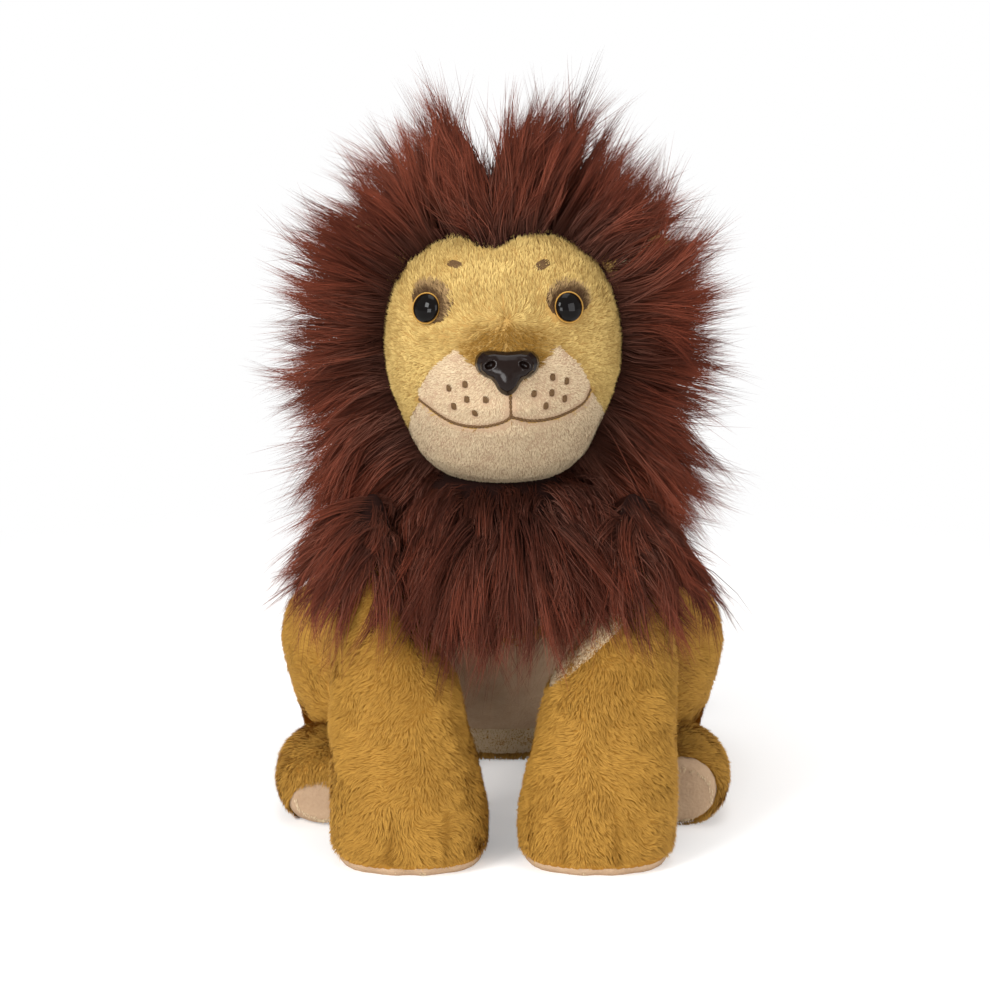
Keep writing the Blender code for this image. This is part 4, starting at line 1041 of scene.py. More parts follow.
    def _comb_chin(self, places: Array, outward: Array) -> Array:
        """Away from the nose, and downwards under the mouth."""
        away = unit(places - np.array([self.nose_place[0], -0.150, self.nose_place[1] - 0.002]))
        return away + rows(0.0, 0.0, ramp(-places[:, 2], -0.168, -0.155) * -1.2)

    def _pile(self) -> None:
        """The short pile of the face, the muzzle and the eye patches."""
        bridge = np.array([self.nose_place[0], self.bridge])
        eyes = self.eye_places
        brows = [node_points(f"brow_stitch_{side.label}").mean(axis=0)[[0, 2]] for side in Side]
        names = [f"whisker_dot_{side.label}_{number}" for side in Side for number in self.DOTS]
        dots = [node_points(name).mean(axis=0)[[0, 2]] for name in names]

        def open_face(places: Array) -> Array:
            """Where the face shows."""
            shown = (self.behind_rim(places) < 0.0015) & (near_spots(places, eyes) > self.eye_radius * 0.85)
            shown &= (near_spots(places, brows) > 0.0011) & (self._near_mouth(places) > 0.0011)
            return shown * (1 - self._on_patch(places, 0.93))

        def face_shade(places: Array) -> Array:
            """Painted shade: darker over the bridge above the nose, where the roots of the standing pile lie in
            shadow, darkest along the parting there, and lifted a little elsewhere, as on the forehead.
            """
            across, up = (places[:, [0, 2]] - bridge).T
            dark = bell(across, 0.0100) * ramp(-up, -0.0085, 0.0020)
            return 0.15 - 1.25 * dark - 0.60 * bell(across, 0.0009) * bell(up - 0.003, 0.0035)

        def face_trim(places: Array) -> Array:
            """Shorter round the eyes, the brows and the nose, longer on the bridge."""
            near = ramp(near_spots(places, eyes), 0.0050, 0.0095)
            brow = ramp(near_spots(places, brows), 0.0010, 0.0045)
            across, up = (places[:, [0, 2]] - bridge).T
            longer = 0.40 * bell(across, 0.009) * bell(up, 0.006)
            return (0.45 + 0.55 * near) * (0.55 + 0.45 * brow) + longer

        def muzzle_trim(places: Array) -> Array:
            """Shorter along the mouth and round the dots."""
            line = ramp(self._near_mouth(places), 0.0006, 0.0030)
            dot = ramp(near_spots(places, dots), 0.0009, 0.0026)
            return (0.35 + 0.65 * line) * (0.45 + 0.55 * dot)

        def muzzle_keep(places: Array) -> Array:
            """Nothing under the stitching and the dots, nor behind the rim."""
            clear = (self._near_mouth(places) > 0.0007) & (near_spots(places, dots) > 0.0008)
            return (clear & (self.behind_rim(places) < 0.004)).astype(float)

        def patch_keep(places: Array) -> Array:
            """Where the patch shows round the eye."""
            return (near_spots(places, eyes) > self.eye_radius * 0.9) * self._on_patch(places, 1.06)

        def patch_shade(places: Array) -> Array:
            """Darkest at the eye's rim."""
            return ramp(near_spots(places, eyes), 0.0058, 0.0084) * 0.90 - 0.50

        def edge_keep(places: Array) -> Array:
            """Where the face's own colour comes over the patch's edge."""
            return (near_spots(places, eyes) > self.eye_radius * 0.9) * (1 - self._on_patch(places, 0.96))

        grow, cover = self.face_coat.grow, [self.panels]
        pile = grow("face_pile", self.skin, 11, self._comb, open_face, cover, face_shade, face_trim)
        dress(pile, FACE_PILE, "head")
        cover, looks = [self.skin], (face_shade, face_trim)
        for seed, (name, skin) in enumerate(self.panel_skins.items(), 20):
            if name.startswith("eye"):
                grow = self.patch_coat.grow
                pile = grow(f"{name}_pile", skin, seed, self._comb, patch_keep, cover, patch_shade)
                dress(pile, PATCH_PILE, "head")
                grow = self.edge_coat.grow
                edge = grow(f"{name}_edge_pile", skin, seed + 9, self._comb, edge_keep, cover, *looks)
                dress(edge, FACE_PILE, "head")
                continue
            comb = self._comb_chin if name == "chin" else self._comb
            pile = self.cream_coat.grow(f"{name}_pile", skin, seed, comb, muzzle_keep, cover, None, muzzle_trim)
            dress(pile, CREAM_PILE, "head")

    def _eye(self, side: Side, steps: int = 14, turned: float = 0.70) -> tuple[float, float]:
        """Makes one domed eye about its own axis, and tells where it is from the front.

        Args:
            side: whose eye.
            steps: how many steps the dome's arc has.
            turned: how far the pupil turns from the eye's axis to the gaze, as a share.

        Returns:
            Its middle's X and Z.
        """
        name = f"eye_{side.label}"
        points, washer = node_points(name), node_points(f"{name}_washer")
        inner = (washer.min(axis=0) + washer.max(axis=0)) / 2
        axis = Vector(points.mean(axis=0) - inner).normalized()
        apex = Vector(inner) + axis * float(((points - inner) @ np.array(axis)).max())
        base = apex - axis * self.eye_dome
        radius, rim, rise = self.eye_radius, self.eye_rim, self.eye_dome - self.eye_rim
        angles = [math.pi / 2 * step / steps for step in range(steps + 1)]
        profile = [(radius * math.sin(angle), rim + rise * math.cos(angle)) for angle in angles]
        profile += [(radius, rim * 0.4), (radius * 0.95, 0.0), (0.0, 0.0)]
        mesh = bmesh.new()
        verts = [mesh.verts.new((out, 0, height)) for out, height in profile]
        edges = [mesh.edges.new(pair) for pair in zip(verts, verts[1:])]
        turn = {"cent": (0, 0, 0), "axis": (0, 0, 1), "angle": 2 * math.pi, "steps": 48, "use_merge": True}
        bmesh.ops.spin(mesh, geom=verts + edges, **turn)
        bmesh.ops.remove_doubles(mesh, verts=mesh.verts, dist=WELD)
        bmesh.ops.recalc_face_normals(mesh, faces=mesh.faces)
        lean = Vector((0, 0, 1)).rotation_difference(axis).to_matrix().to_4x4()
        looks = lean.to_3x3().inverted() @ axis.lerp(Vector(self.gaze), turned).normalized()
        layer = mesh.loops.layers.uv.new(UV_NAME)
        for loop in (loop for face in mesh.faces for loop in face.loops):
            x, y, z = loop.vert.co
            aside = Vector((x / radius, y / radius, (z - rim) / rise)).angle(looks) / (math.pi / 2)
            loop[layer].uv = (0.5 + 0.4 * x / radius, min(aside, 1.0))
        mesh.transform(Matrix.Translation(base) @ lean)
        dress(add_mesh(f"{name}_dome", mesh), EYE_PLASTIC, "head", [name])
        return base.x, base.z

    @staticmethod
    def _thread(mesh: bmesh.types.BMesh, start: Vector, end: Vector, radius: float, facing: Vector) -> None:
        """Adds one stitch: a slim bead from start to end that lies flat on the face."""
        made = bmesh.ops.create_uvsphere(mesh, u_segments=8, v_segments=6, radius=1.0)
        run = end - start
        ahead = run.normalized()
        across = facing.cross(ahead).normalized()
        turn = Matrix((across, ahead.cross(across), ahead)).transposed().to_4x4()
        size = Matrix.Diagonal((radius, radius * 0.75, run.length / 2 * 1.12, 1.0))
        place = Matrix.Translation((start + end) / 2)
        bmesh.ops.transform(mesh, matrix=place @ turn @ size, verts=made["verts"])

    def _stitches(self) -> None:
        """The mouth in back stitch, and the brows and dots in satin stitch."""
        runs = {f"mouth_stitch_{name}": line for name, line in self.mouth.items()}
        runs["philtrum_stitch"] = self.philtrum
        for name, line in runs.items():
            mesh = bmesh.new()
            places = [self.front.touch(x, z) for x, z in line]
            points = [place + normal * 0.15 * MM for place, normal in places]
            lengths = np.concatenate([[0.0], np.cumsum([(b - a).length for a, b in zip(points, points[1:])])])
            marks = np.linspace(0.0, lengths[-1], max(2, round(lengths[-1] / self.stitch)) + 1)
            table = np.array([list(point) for point in points])
            spots = [Vector([np.interp(mark, lengths, table[:, i]) for i in range(3)]) for mark in marks]
            for mark, start, end in zip(marks, spots, spots[1:]):
                near = places[min(int(np.searchsorted(lengths, mark)), len(places) - 1)][1]
                self._thread(mesh, start, end, self.thread_radius, near)
            dress(add_mesh(f"{name}_thread", mesh), BROWN_THREAD, "head", [name])
        for side in Side:
            brow = [f"brow_stitch_{side.label}"]
            self._satin(brow[0], brow, 5, 0.46, 1.45, 0.46)
            dots = [f"whisker_dot_{side.label}_{number}" for number in self.DOTS]
            self._satin(f"whisker_dots_{side.label}", dots, 4, 0.38, 1.00, 0.85)

    def _satin(
        self, name: str, nodes: Sequence[str], threads: int, radius: float, size: float, width: float
    ) -> None:
        """Makes satin stitches in place of CAD beads.

        Args:
            name: the start of the piece's name.
            nodes: the beads.
            threads: how many threads lie side by side in each stitch.
            radius: the radius of each thread in millimetres.
            size: a stitch's length, as a share of the bead's.
            width: how wide it is, as a share of its length.
        """
        mesh = bmesh.new()
        for points in map(node_points, nodes):
            centre = points.mean(axis=0)
            _, _, axes = np.linalg.svd(points - centre)
            place, normal = self.front.touch(centre[0], centre[2])
            reach = float(np.abs((points - centre) @ axes[0]).max()) * size
            long = Vector(axes[0]) - normal * Vector(axes[0]).dot(normal)
            long.normalize()
            wide = long.cross(normal)
            for index in range(threads):
                share = (index + 0.5) / threads * 2 - 1
                half = long * reach * math.sqrt(1 - 0.55 * share**2)
                middle = place + wide * share * reach * width + normal * 0.15 * MM
                self._thread(mesh, middle - half, middle + half, radius * MM, normal)
        dress(add_mesh(f"{name}_thread", mesh), BROWN_THREAD, "head", nodes)


@dataclass
class Limbs:
    """The torso, the legs, the feet and the belly."""

    leg_coat: Coat = Coat(5.1, 0.0038, 0.00030, 42.0, 24.0, 0.0034, 0.24, 0.95, 0.30)
    body_coat: Coat = Coat(2.4, 0.0046, 0.00044, 46.0, 24.0, 0.0036, 0.30, 0.80, 0.30)
    thigh_coat: Coat = Coat(3.9, 0.0040, 0.00036, 42.0, 24.0, 0.0034, 0.24, 0.95, 0.30)
    hem_coat: Coat = Coat(11.0, 0.0016, 0.00042, 56.0, 18.0, 0.0020, 0.20, 0.30, 0.20)
    cream_coat: Coat = Coat(3.2, 0.0019, 0.00034, 52.0, 22.0, 0.0020, 0.35, 0.35, 0.25)
    leg_middle: float = 0.0315
    toe_spacing: float = 0.0175
    sole_edge: float = 0.0058
    backing_hem: float = 0.110
    proud: float = 0.55 * MM

    BODY = ("torso", "belly_panel")
    GOLD = (
        "torso",
        "front_leg_left",
        "front_leg_right",
        "thigh_left",
        "thigh_right",
        "hind_foot_left",
        "hind_foot_right",
    )
    CREAM = ("belly_panel", "front_sole_left", "front_sole_right", "hind_pad_left", "hind_pad_right")
    GOLD_SKIN = (1.5, 8, 0.15)
    CREAM_SKIN = (1.0, 5, 0.40)
    COARSE = {"torso": 1.9, "belly_panel": 1.7}

    def build(self) -> None:
        """Makes the skins, then their pile."""
        forms = {name: (name,) for name in self.GOLD + self.CREAM}
        forms["torso"] = self.BODY
        for side in Side:
            forms[f"front_leg_{side.label}"] = (f"front_leg_{side.label}", f"front_sole_{side.label}")
            forms[f"hind_foot_{side.label}"] = (f"hind_foot_{side.label}", f"hind_pad_{side.label}")
        self.objects = {}
        for name, nodes in forms.items():
            gold = name in self.GOLD
            voxel, passes, swell = self.GOLD_SKIN if gold else self.CREAM_SKIN
            obj = stuffed(f"{name}_skin", nodes, self.COARSE.get(name, voxel), passes, swell)
            dress(obj, GOLD_CLOTH if gold else CREAM_CLOTH, "torso", [name])
            self.objects[name] = obj
        self.skins = {name: Skin.read(obj) for name, obj in self.objects.items()}
        for name, skin in self.skins.items():
            skin.proud = 0.0 if "sole" in name or "pad" in name else self.proud
        self._shoulders()
        self.whole = Skin.read(*self.objects.values())
        for seed, name in enumerate(self.GOLD, 40):
            comb, coat, keep = self._growth(name)
            skin, cover = self.skins[name], self._others(name)
            pile = coat.grow(f"{name}_pile", skin, seed, comb, keep, cover, self._folds)
            dress(pile, GOLD_PILE, "torso")
        for seed, name in enumerate(self.CREAM, 60):
            grow, cover = self.cream_coat.grow, self._others(name)
            pile = grow(f"{name}_pile", self.skins[name], seed, self._comb_down, off_floor, cover)
            dress(pile, CREAM_PILE, "torso")
        parts = (
            ("front_leg_left", self._on_chest, self._others("front_leg_left")),
            ("torso", self._on_seat, ()),
        )
        for seed, (name, keep, cover) in enumerate(parts, 66):
            grow, comb = self.hem_coat.grow, self._comb_down
            pile = grow(f"{name}_cream_pile", self.skins[name], seed, comb, keep, cover, self._dim)
            dress(pile, CREAM_PILE, "torso")

    def _shoulders(self) -> None:
        """The dark backing over the shoulders, under the mane, a closed shell."""
        legs = [f"front_leg_{side.label}" for side in Side]
        whole = stuffed("shoulder_backing", (*self.BODY, *legs), 1.9, 6, 0.8)
        mesh = bmesh.new()
        mesh.from_mesh(whole.data)
        cut_open(mesh, [face for face in mesh.faces if face.calc_center_median().z < self.backing_hem])
        mesh.to_mesh(whole.data)
        mesh.free()
        dress(whole, MANE_CLOTH, "torso")

    def _others(self, name: str) -> list[Skin]:
        """Every skin but one."""
        return [skin for other, skin in self.skins.items() if other != name]

    def _growth(self, name: str) -> tuple[Comb, Coat, Field]:
        """How the gold pile of one form is combed, its coat and where it grows."""
        if name.startswith("hind_foot"):
            return self._comb_foot, self.leg_coat, off_floor
        if name.startswith("thigh"):
            return self._comb_thigh, self.thigh_coat, off_floor
        if name == "torso":
            return self._comb_down, self.body_coat, self._below_mane
        middle = self.leg_middle * (1 if name.endswith("left") else -1)

        def comb(places: Array, outward: Array) -> Array:
            """Down, and away from the parting on the leg's front."""
            spread = np.tanh((places[:, 0] - middle) / 0.006) * ramp(-places[:, 1], 0.125, 0.160)
            return rows(spread * 0.9, 0.0, -1.0)

        def keep(places: Array) -> Array:
            """Gold above the sole's edge."""
            return self._below_mane(places) * (places[:, 2] > self.sole_edge)

        return comb, self.leg_coat, keep

    @staticmethod
    def _dim(places: Array) -> Array:
        """Painted shade: darker cream on the leg's top under the mane, for the mane's shadow, and on the strip
        under the belly's seam, for the shade between the legs.
        """
        return np.full(len(places), -0.40)

    def _folds(self, places: Array) -> Array:
        """Painted shade: darker in the grooves between the toes and up the legs' inner sides, where shadow
        falls; lifted a little elsewhere.
        """
        x, y, z = places.T
        across = np.abs(x) - self.leg_middle
        low = ramp(-z, -0.030, -0.018) * ramp(-y, 0.150, 0.158)
        toes = sum(bell(across - toe * self.toe_spacing, 0.0010) for toe in (-0.5, 0.5))
        inner = ramp(-y, 0.108, 0.114) * ramp(z, 0.045, 0.100) * ramp(-np.abs(across - 0.006), -0.022, -0.004)
        return 0.05 - 0.55 * toes * low - 0.30 * inner

    @staticmethod
    def _on_chest(places: Array) -> Array:
        """The cream part of a leg's top, which carries the chest panel on."""
        x, y, z = places.T
        inside = ramp(z - x, 0.0465, 0.0475) * ramp(-x, -0.0460, -0.0450) * (x > 0)
        return inside * ramp(-y, 0.116, 0.120)

    @staticmethod
    def _on_seat(places: Array) -> Array:
        """The cream strip under the belly's seam."""
        x, y, z = places.T
        return ((np.abs(x) < 0.044) & (y < -0.030) & (y > -0.108)) * ramp(-z, -0.0196, -0.0190)

    def _below_mane(self, places: Array) -> Array:
        """Gold: nothing under the seat, on the cream parts or where the mane starts."""
        free = off_floor(places) * ramp(-places[:, 2], -0.112, -0.105)
        return free * (1 - self._on_chest(places)) * (1 - self._on_seat(places))

    @staticmethod
    def _comb_down(places: Array, outward: Array) -> Array:
        """Down, and back over the rump."""
        return rows(0.0, 0.5 * ramp(places[:, 1], -0.05, 0.03), -1.0)

    @staticmethod
    def _comb_thigh(places: Array, outward: Array) -> Array:
        """Round the thigh, from the knee up and back and then down."""
        _, y, z = (places - np.array([0.0, -0.045, 0.030])).T
        return unit(rows(0.0, z, -y)) + np.array([[0.0, 0.0, -0.9]])

    @staticmethod
    def _comb_foot(places: Array, outward: Array) -> Array:
        """Outwards over the foot and down."""
        return rows(np.sign(places[:, 0]) * 0.5, -0.15, -1.0)


@dataclass(frozen=True)
class Locks:
    """A band of locks: how many, how many strands in each, how wide and at least how long each is."""

    count: int
    strands: int
    radius: float
    least: float = 0.0


@dataclass
class Mane:
    """The long fur round the head and over the chest, in locks that radiate from the face."""

    middle: float = 0.184
    hairline: Locks = Locks(300, 44, 0.0026)
    hood: Locks = Locks(860, 50, 0.0046)
    jowls: Locks = Locks(150, 46, 0.0044, 0.054)
    collar: Locks = Locks(430, 48, 0.0044)
    shawl: Locks = Locks(230, 44, 0.0036)
    steps: int = 5
    strand_width: float = 0.00031
    longest: float = 0.066
    stray: float = 0.09
    parting: float = -0.004
    reach: tuple = (0.103, 0.300)
    front_of_head: float = -0.088
    front_of_neck: float = -0.095
    sample_density: float = 2.0

    SHELLS = ("mane_left", "mane_right", "mane_bib", "mane_nape")

    def build(self, face: Face, limbs: Limbs) -> None:
        """Makes the dark backing and the parts of the mane."""
        self._backing(face)
        self.shell = Skin.read(*(frame["nodes"][name] for name in self.SHELLS))
        ears = [frame["nodes"][f"ear_{side.label}"] for side in Side]
        self.solids = Skin.read(*limbs.objects.values(), face.head_skin, *ears)
        self.face = face
        rng = np.random.default_rng(101)
        bands = (
            (self.hairline, self._at_hairline, self._head_ways),
            (self.hood, self._on_head, self._head_ways),
            (self.jowls, self._on_jowls, self._jowl_ways),
        )
        parts = self._rooted(face.skin, bands, rng)
        for side in Side:
            for part in ("front", "back"):

                def mine(roots: Array, way: int = side.value, ahead: bool = part == "front") -> Array:
                    """The locks of this side and part."""
                    return (roots[:, 0] * way >= 0) & ((roots[:, 1] < self.front_of_head) == ahead)

                fur = self._fur(f"mane_{side.label}_{part}_fur", parts, mine, rng)
                dress(fur, MANE_PILE, "head", [f"mane_{side.label}"] if part == "front" else ())
        bands = (
            (self.collar, self._on_chest, self._chest_ways),
            (self.shawl, self._on_front, self._chest_ways),
        )
        parts = self._rooted(limbs.whole, bands, rng)
        for name in ("bib", "nape"):

            def mine(roots: Array, ahead: bool = name == "bib") -> Array:
                """The locks of this part."""
                return (roots[:, 1] < self.front_of_neck) == ahead

            fur = self._fur(f"mane_{name}_fur", parts, mine, rng)
            dress(fur, MANE_PILE, "", [f"mane_{name}"])
            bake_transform(fur)

    def _rooted(self, skin: Skin, bands: Sequence[tuple], rng: np.random.Generator) -> list[tuple]:
        """Roots, outward directions and ways for each band, whose likelihood and ways are given."""
        parts = []
        for locks, likely, ways in bands:
            roots, outward = self._roots(skin, locks.count, likely, rng)
            parts.append((roots, outward, ways(roots, outward), locks))
        return parts

    def _fur(
        self, name: str, parts: Sequence[tuple], mine: Field, rng: np.random.Generator
    ) -> bpy.types.Object:
        """One piece of the mane, from the locks of each band that belong to it."""
        pieces = []
        for roots, outward, ways, locks in parts:
            chosen = mine(roots)
            pieces.append(self._grow(roots[chosen], outward[chosen], ways[chosen], locks, rng))
        return Fibres.joined(pieces).make(name)

    @staticmethod
    def _backing(face: Face) -> None:
        """The dark backing over the head behind the face, a closed shell."""
        mesh = bmesh.new()
        mesh.from_mesh(face.head_skin.data)
        for vertex in mesh.verts:
            vertex.co += vertex.normal * 0.6 * MM
        centres = np.array([list(part.calc_center_median()) for part in mesh.faces])
        shown = face.behind_rim(centres) < 1.0 * MM
        cut_open(mesh, [part for part, bare in zip(mesh.faces, shown) if bare])
        dress(add_mesh("mane_backing", mesh), MANE_CLOTH, "head")

    def _above_neck(self, places: Array) -> Array:
        """Whether a place is above the neck's seam."""
        return places[:, 2] > self.face.neck + 2 * MM

    def _at_hairline(self, places: Array, outward: Array) -> Array:
        """A narrow band just behind the hairline."""
        behind = self.face.behind_rim(places)
        return (behind > 0) & (behind < 5 * MM) & self._above_neck(places)

    def _on_head(self, places: Array, outward: Array) -> Array:
        """The rest of the head."""
        return (self.face.behind_rim(places) > 4 * MM) & self._above_neck(places)

    def _on_jowls(self, places: Array, outward: Array) -> Array:
        """The head's lower sides, whose locks fall over the shoulders."""
        x, y, z = places.T
        low = self._above_neck(places) & (z < 0.160) & (y < -0.080)
        return low & (self.face.behind_rim(places) > -1 * MM) & (np.abs(x) > 0.008)

    @staticmethod
    def _jowl_ways(roots: Array, outward: Array) -> Array:
        """Down, outwards and forwards over the shoulders."""
        x = roots[:, 0]
        return unit(rows(np.sign(x) * (0.30 + 0.55 * ramp(np.abs(x), 0.010, 0.038)), -0.45, -0.68))

    @staticmethod
    def _on_chest(places: Array, outward: Array) -> Array:
        """How likely a lock is on the chest, the shoulders and the nape."""
        band = ramp(places[:, 2], 0.110, 0.122) * (outward[:, 2] > -0.5)
        return band * (0.5 + 0.5 * ramp(-places[:, 1], 0.09, 0.13))

    @staticmethod
    def _on_front(places: Array, outward: Array) -> Array:
        """The front of the chest and of the legs' tops, where the mane hangs over them."""
        band = ramp(places[:, 2], 0.103, 0.110) * ramp(-places[:, 2], -0.126, -0.116)
        return band * (outward[:, 1] < -0.15) * (places[:, 1] < -0.110)

    def _roots(self, skin: Skin, count: int, likely: Comb, rng: np.random.Generator) -> tuple[Array, Array]:
        """Root places spread evenly over what a likelihood allows.

        Args:
            skin: what the locks grow on.
            count: about how many locks.
            likely: how likely a lock is at places and outward directions.
            rng: the random source.

        Returns:
            The roots and the outward directions there.
        """
        places, outward = skin.sample(self.sample_density, rng)
        chosen = rng.random(len(places)) < likely(places, outward)
        places, outward = places[chosen], outward[chosen]
        gap = 0.72 * MM * math.sqrt(len(places) / self.sample_density / count)
        kept: list[int] = []
        cells: dict[tuple, list[int]] = {}
        for index in rng.permutation(len(places)):
            place = places[index]
            key = tuple((place // gap).astype(int))
            corners = np.ndindex(3, 3, 3)
            around = (tuple(key[axis] + corner[axis] - 1 for axis in range(3)) for corner in corners)
            near = [other for cell in around for other in cells.get(cell, ())]
            if all(((places[other] - place) ** 2).sum() > gap * gap for other in near):
                kept.append(index)
                cells.setdefault(key, []).append(index)
            if len(kept) >= count:
                break
        return places[kept], outward[kept]

    def _away(self, roots: Array) -> tuple[Array, Array]:
        """From the middle of the face outwards in the plane of the face, and how far that is down."""
        radial = roots - np.array([0.0, 0.0, self.middle])
        radial[:, 1] = 0
        away = unit(radial) * ramp(np.linalg.norm(radial, axis=1), 0.0, 0.02)[:, None]
        up = np.clip(away[:, 2], 0, 1)
        across = roots[:, 0] - self.parting
        away[:, 0] += 0.30 * up * np.sign(across) * bell(across, 0.016)
        return away, np.clip(-away[:, 2], 0, 1)

    @staticmethod
    def _by_ear(roots: Array) -> Array:
        """How surely a lock passes in front of an ear."""
        x, y, z = roots.T
        high = bell(z - EAR_HEIGHT, 0.018) * ramp(z, 0.170, 0.186)
        return high * ramp(np.abs(x), 0.020, 0.030) * ramp(-y, 0.095, 0.099)

    def _head_ways(self, roots: Array, outward: Array) -> Array:
        """Which way each lock on the head points: outwards, back behind the face, and down at the back."""
        x, y, z = roots.T
        away, down = self._away(roots)
        behind = np.clip((y + 0.112) / 0.055, 0, 1)
        back = 0.32 + 0.75 * behind - 0.75 * down * (1 - behind)
        back -= 0.75 * self._by_ear(roots)
        ways = away * (1.0 - 0.45 * behind)[:, None] + outward * 0.25
        ways[:, 2] *= 1 - 0.20 * ramp(-z, -0.165, -0.145) * ramp(np.abs(x), 0.012, 0.030)
        ways[:, 1] += back
        ways[:, 2] -= 0.04 + 0.36 * behind + 0.12 * down
        return unit(ways)

    def _chest_ways(self, roots: Array, outward: Array) -> Array:
        """Which way each lock on the chest and nape points: down and outwards."""
        away, _ = self._away(roots)
        aside = ramp(np.abs(roots[:, 0]), 0.030, 0.055)
        ways = away * (0.65 + 0.15 * aside)[:, None] + outward * 0.45
        ways[:, 1] -= 0.20 * ramp(-roots[:, 1], 0.08, 0.12)
        ways[:, 2] -= 0.55 - 0.05 * aside
        return unit(ways)

    def _room(self, roots: Array, ways: Array, past: float = 1e-5) -> Array:
        """How far it is from each root to the outside of the CAD mane, through up to six walls."""
        room = np.zeros(len(roots))
        for index, (root, way) in enumerate(zip(roots.tolist(), ways.tolist())):
            place, way, gone = Vector(root), Vector(way), 0.0
            for _ in range(6):
                hit, _, _, distance = self.shell.tree.ray_cast(place, way, self.longest + 0.012 - gone)
                if hit is None:
                    break
                gone += distance + past
                place = hit + way * past
            room[index] = gone
        x, y, z = roots.T
        chest = ramp(-z, -0.137, -0.134)
        jowl = (1 - chest) * ramp(-z, -0.168, -0.150) * ramp(-y, 0.080, 0.095)
        least = 0.024 + 0.022 * self._by_ear(roots) + 0.024 * jowl
        least += chest * (0.022 - 0.012 * ramp(np.abs(x), 0.02, 0.05))
        return np.clip(room, least, self.longest)

    def _grow(
        self, roots: Array, outward: Array, ways: Array, locks: Locks, rng: np.random.Generator
    ) -> Fibres:
        """Grows locks of strands from their roots.

        Args:
            roots: where the locks start.
            outward: the skin's direction there.
            ways: which way they point.
            locks: how many strands each has and how wide it starts.
            rng: the random source.

        Returns:
            The strands.
        """
        count = len(roots)
        x, y, z = roots.T
        ways = unit(ways + 0.22 * drift(roots, 0.026, 7) + 0.12 * rng.normal(size=(count, 3)))
        length = np.maximum(self._room(roots, ways), locks.least)
        length = (length * np.clip(rng.normal(0.97, 0.10, count), 0.70, 1.12))[:, None]
        start = unit(outward * 0.65 + ways * 0.55 + 0.10 * rng.normal(size=(count, 3)))
        bend = unit(np.cross(ways, np.array([[0.0, 1.0, 0.0]]) + 0.4 * rng.normal(size=(count, 3))))
        bend = bend * rng.normal(0.0, 0.10, count)[:, None] * length
        elbow = self.solids.push_out(roots + start * length * 0.42 - bend, 3.0 * MM)
        tip = self.solids.push_out(roots + ways * length + bend, 4.0 * MM)
        veil = self._by_ear(roots) > 0.30
        for bent, front_of_ear in ((elbow, -0.1145), (tip, -0.1120)):
            bent[veil, 1] = np.minimum(bent[veil, 1], front_of_ear)
        depth = y + 0.060
        front, back = ramp(-depth, -0.005, 0.045)[:, None], ramp(depth, -0.010, 0.035)[:, None]
        face_way = unit(outward * 0.45 + np.array([[0.0, -1.0, 0.12]]) * (front - back) + ways * 0.15)
        # Painted shadow: locks just under the chin get a darker tone, standing in for the head's shadow over
        # the bib.
        chin = ramp(-np.abs(x), -0.055, -0.020) * ramp(-z, -0.145, -0.136) * ramp(-depth, 0.0, 0.03)
        lock_tone = 0.42 + 0.22 * rng.normal(size=count) + 0.14 * drift(roots, 0.02, 9)[:, 0] - 0.36 * chin
        ends = rng.normal(size=(count, 4, 3)) * 2.3 * MM

        total = count * locks.strands
        lock = np.repeat(np.arange(count), locks.strands)
        turn = rng.uniform(0, 2 * math.pi, total)[:, None]
        radius = locks.radius * np.sqrt(rng.random((total, 1)))
        side = along_surface(rng.normal(size=(count, 3)), outward)
        other = np.cross(outward, side)
        offset = (side[lock] * np.cos(turn) + other[lock] * np.sin(turn)) * radius
        loose = (rng.random(total) < self.stray)[:, None]
        scatter = rng.normal(size=(total, 3)) * np.where(loose, 3.6, 0.9) * MM
        share = np.clip(rng.normal(0.90, 0.13, total), 0.40, 1.08)[:, None]
        first = roots[lock] + offset - outward[lock] * 0.4 * MM
        second = elbow[lock] + offset * 0.70 + scatter * 0.4
        third = tip[lock] + offset * 0.14 + ends[lock, rng.integers(0, 4, total)] + scatter
        steps = np.linspace(0.0, 1.0, self.steps)
        paths = curves(first, second, third, [step * share for step in steps])
        wave = unit(np.cross(ways[lock], rng.normal(size=(total, 3))))
        beat = np.sin(2 * math.pi * (steps[None, :] * 0.9 + rng.random((total, 1)))) * steps[None, :] * MM
        paths += wave[:, None, :] * beat[:, :, None]
        taper = np.interp(steps, (0.0, 0.2, 0.6, 1.0), (0.8, 1.0, 0.85, 0.0))[None, :]
        widths = self.strand_width * (0.75 + 0.5 * rng.random((total, 1))) * taper
        tones = lock_tone[lock] + 0.20 * rng.normal(size=total) + 0.10 * loose[:, 0]
        turns = rng.uniform(-1.0, 1.0, total)
        side_most, top_most = np.abs(paths[:, :, 0]).max(axis=1), paths[:, :, 2].max(axis=1)
        kept = (side_most < self.reach[0]) & (top_most < self.reach[1])
        return Fibres(paths[kept], widths[kept], tones[kept], face_way[lock][kept], turns[kept], 0.40)


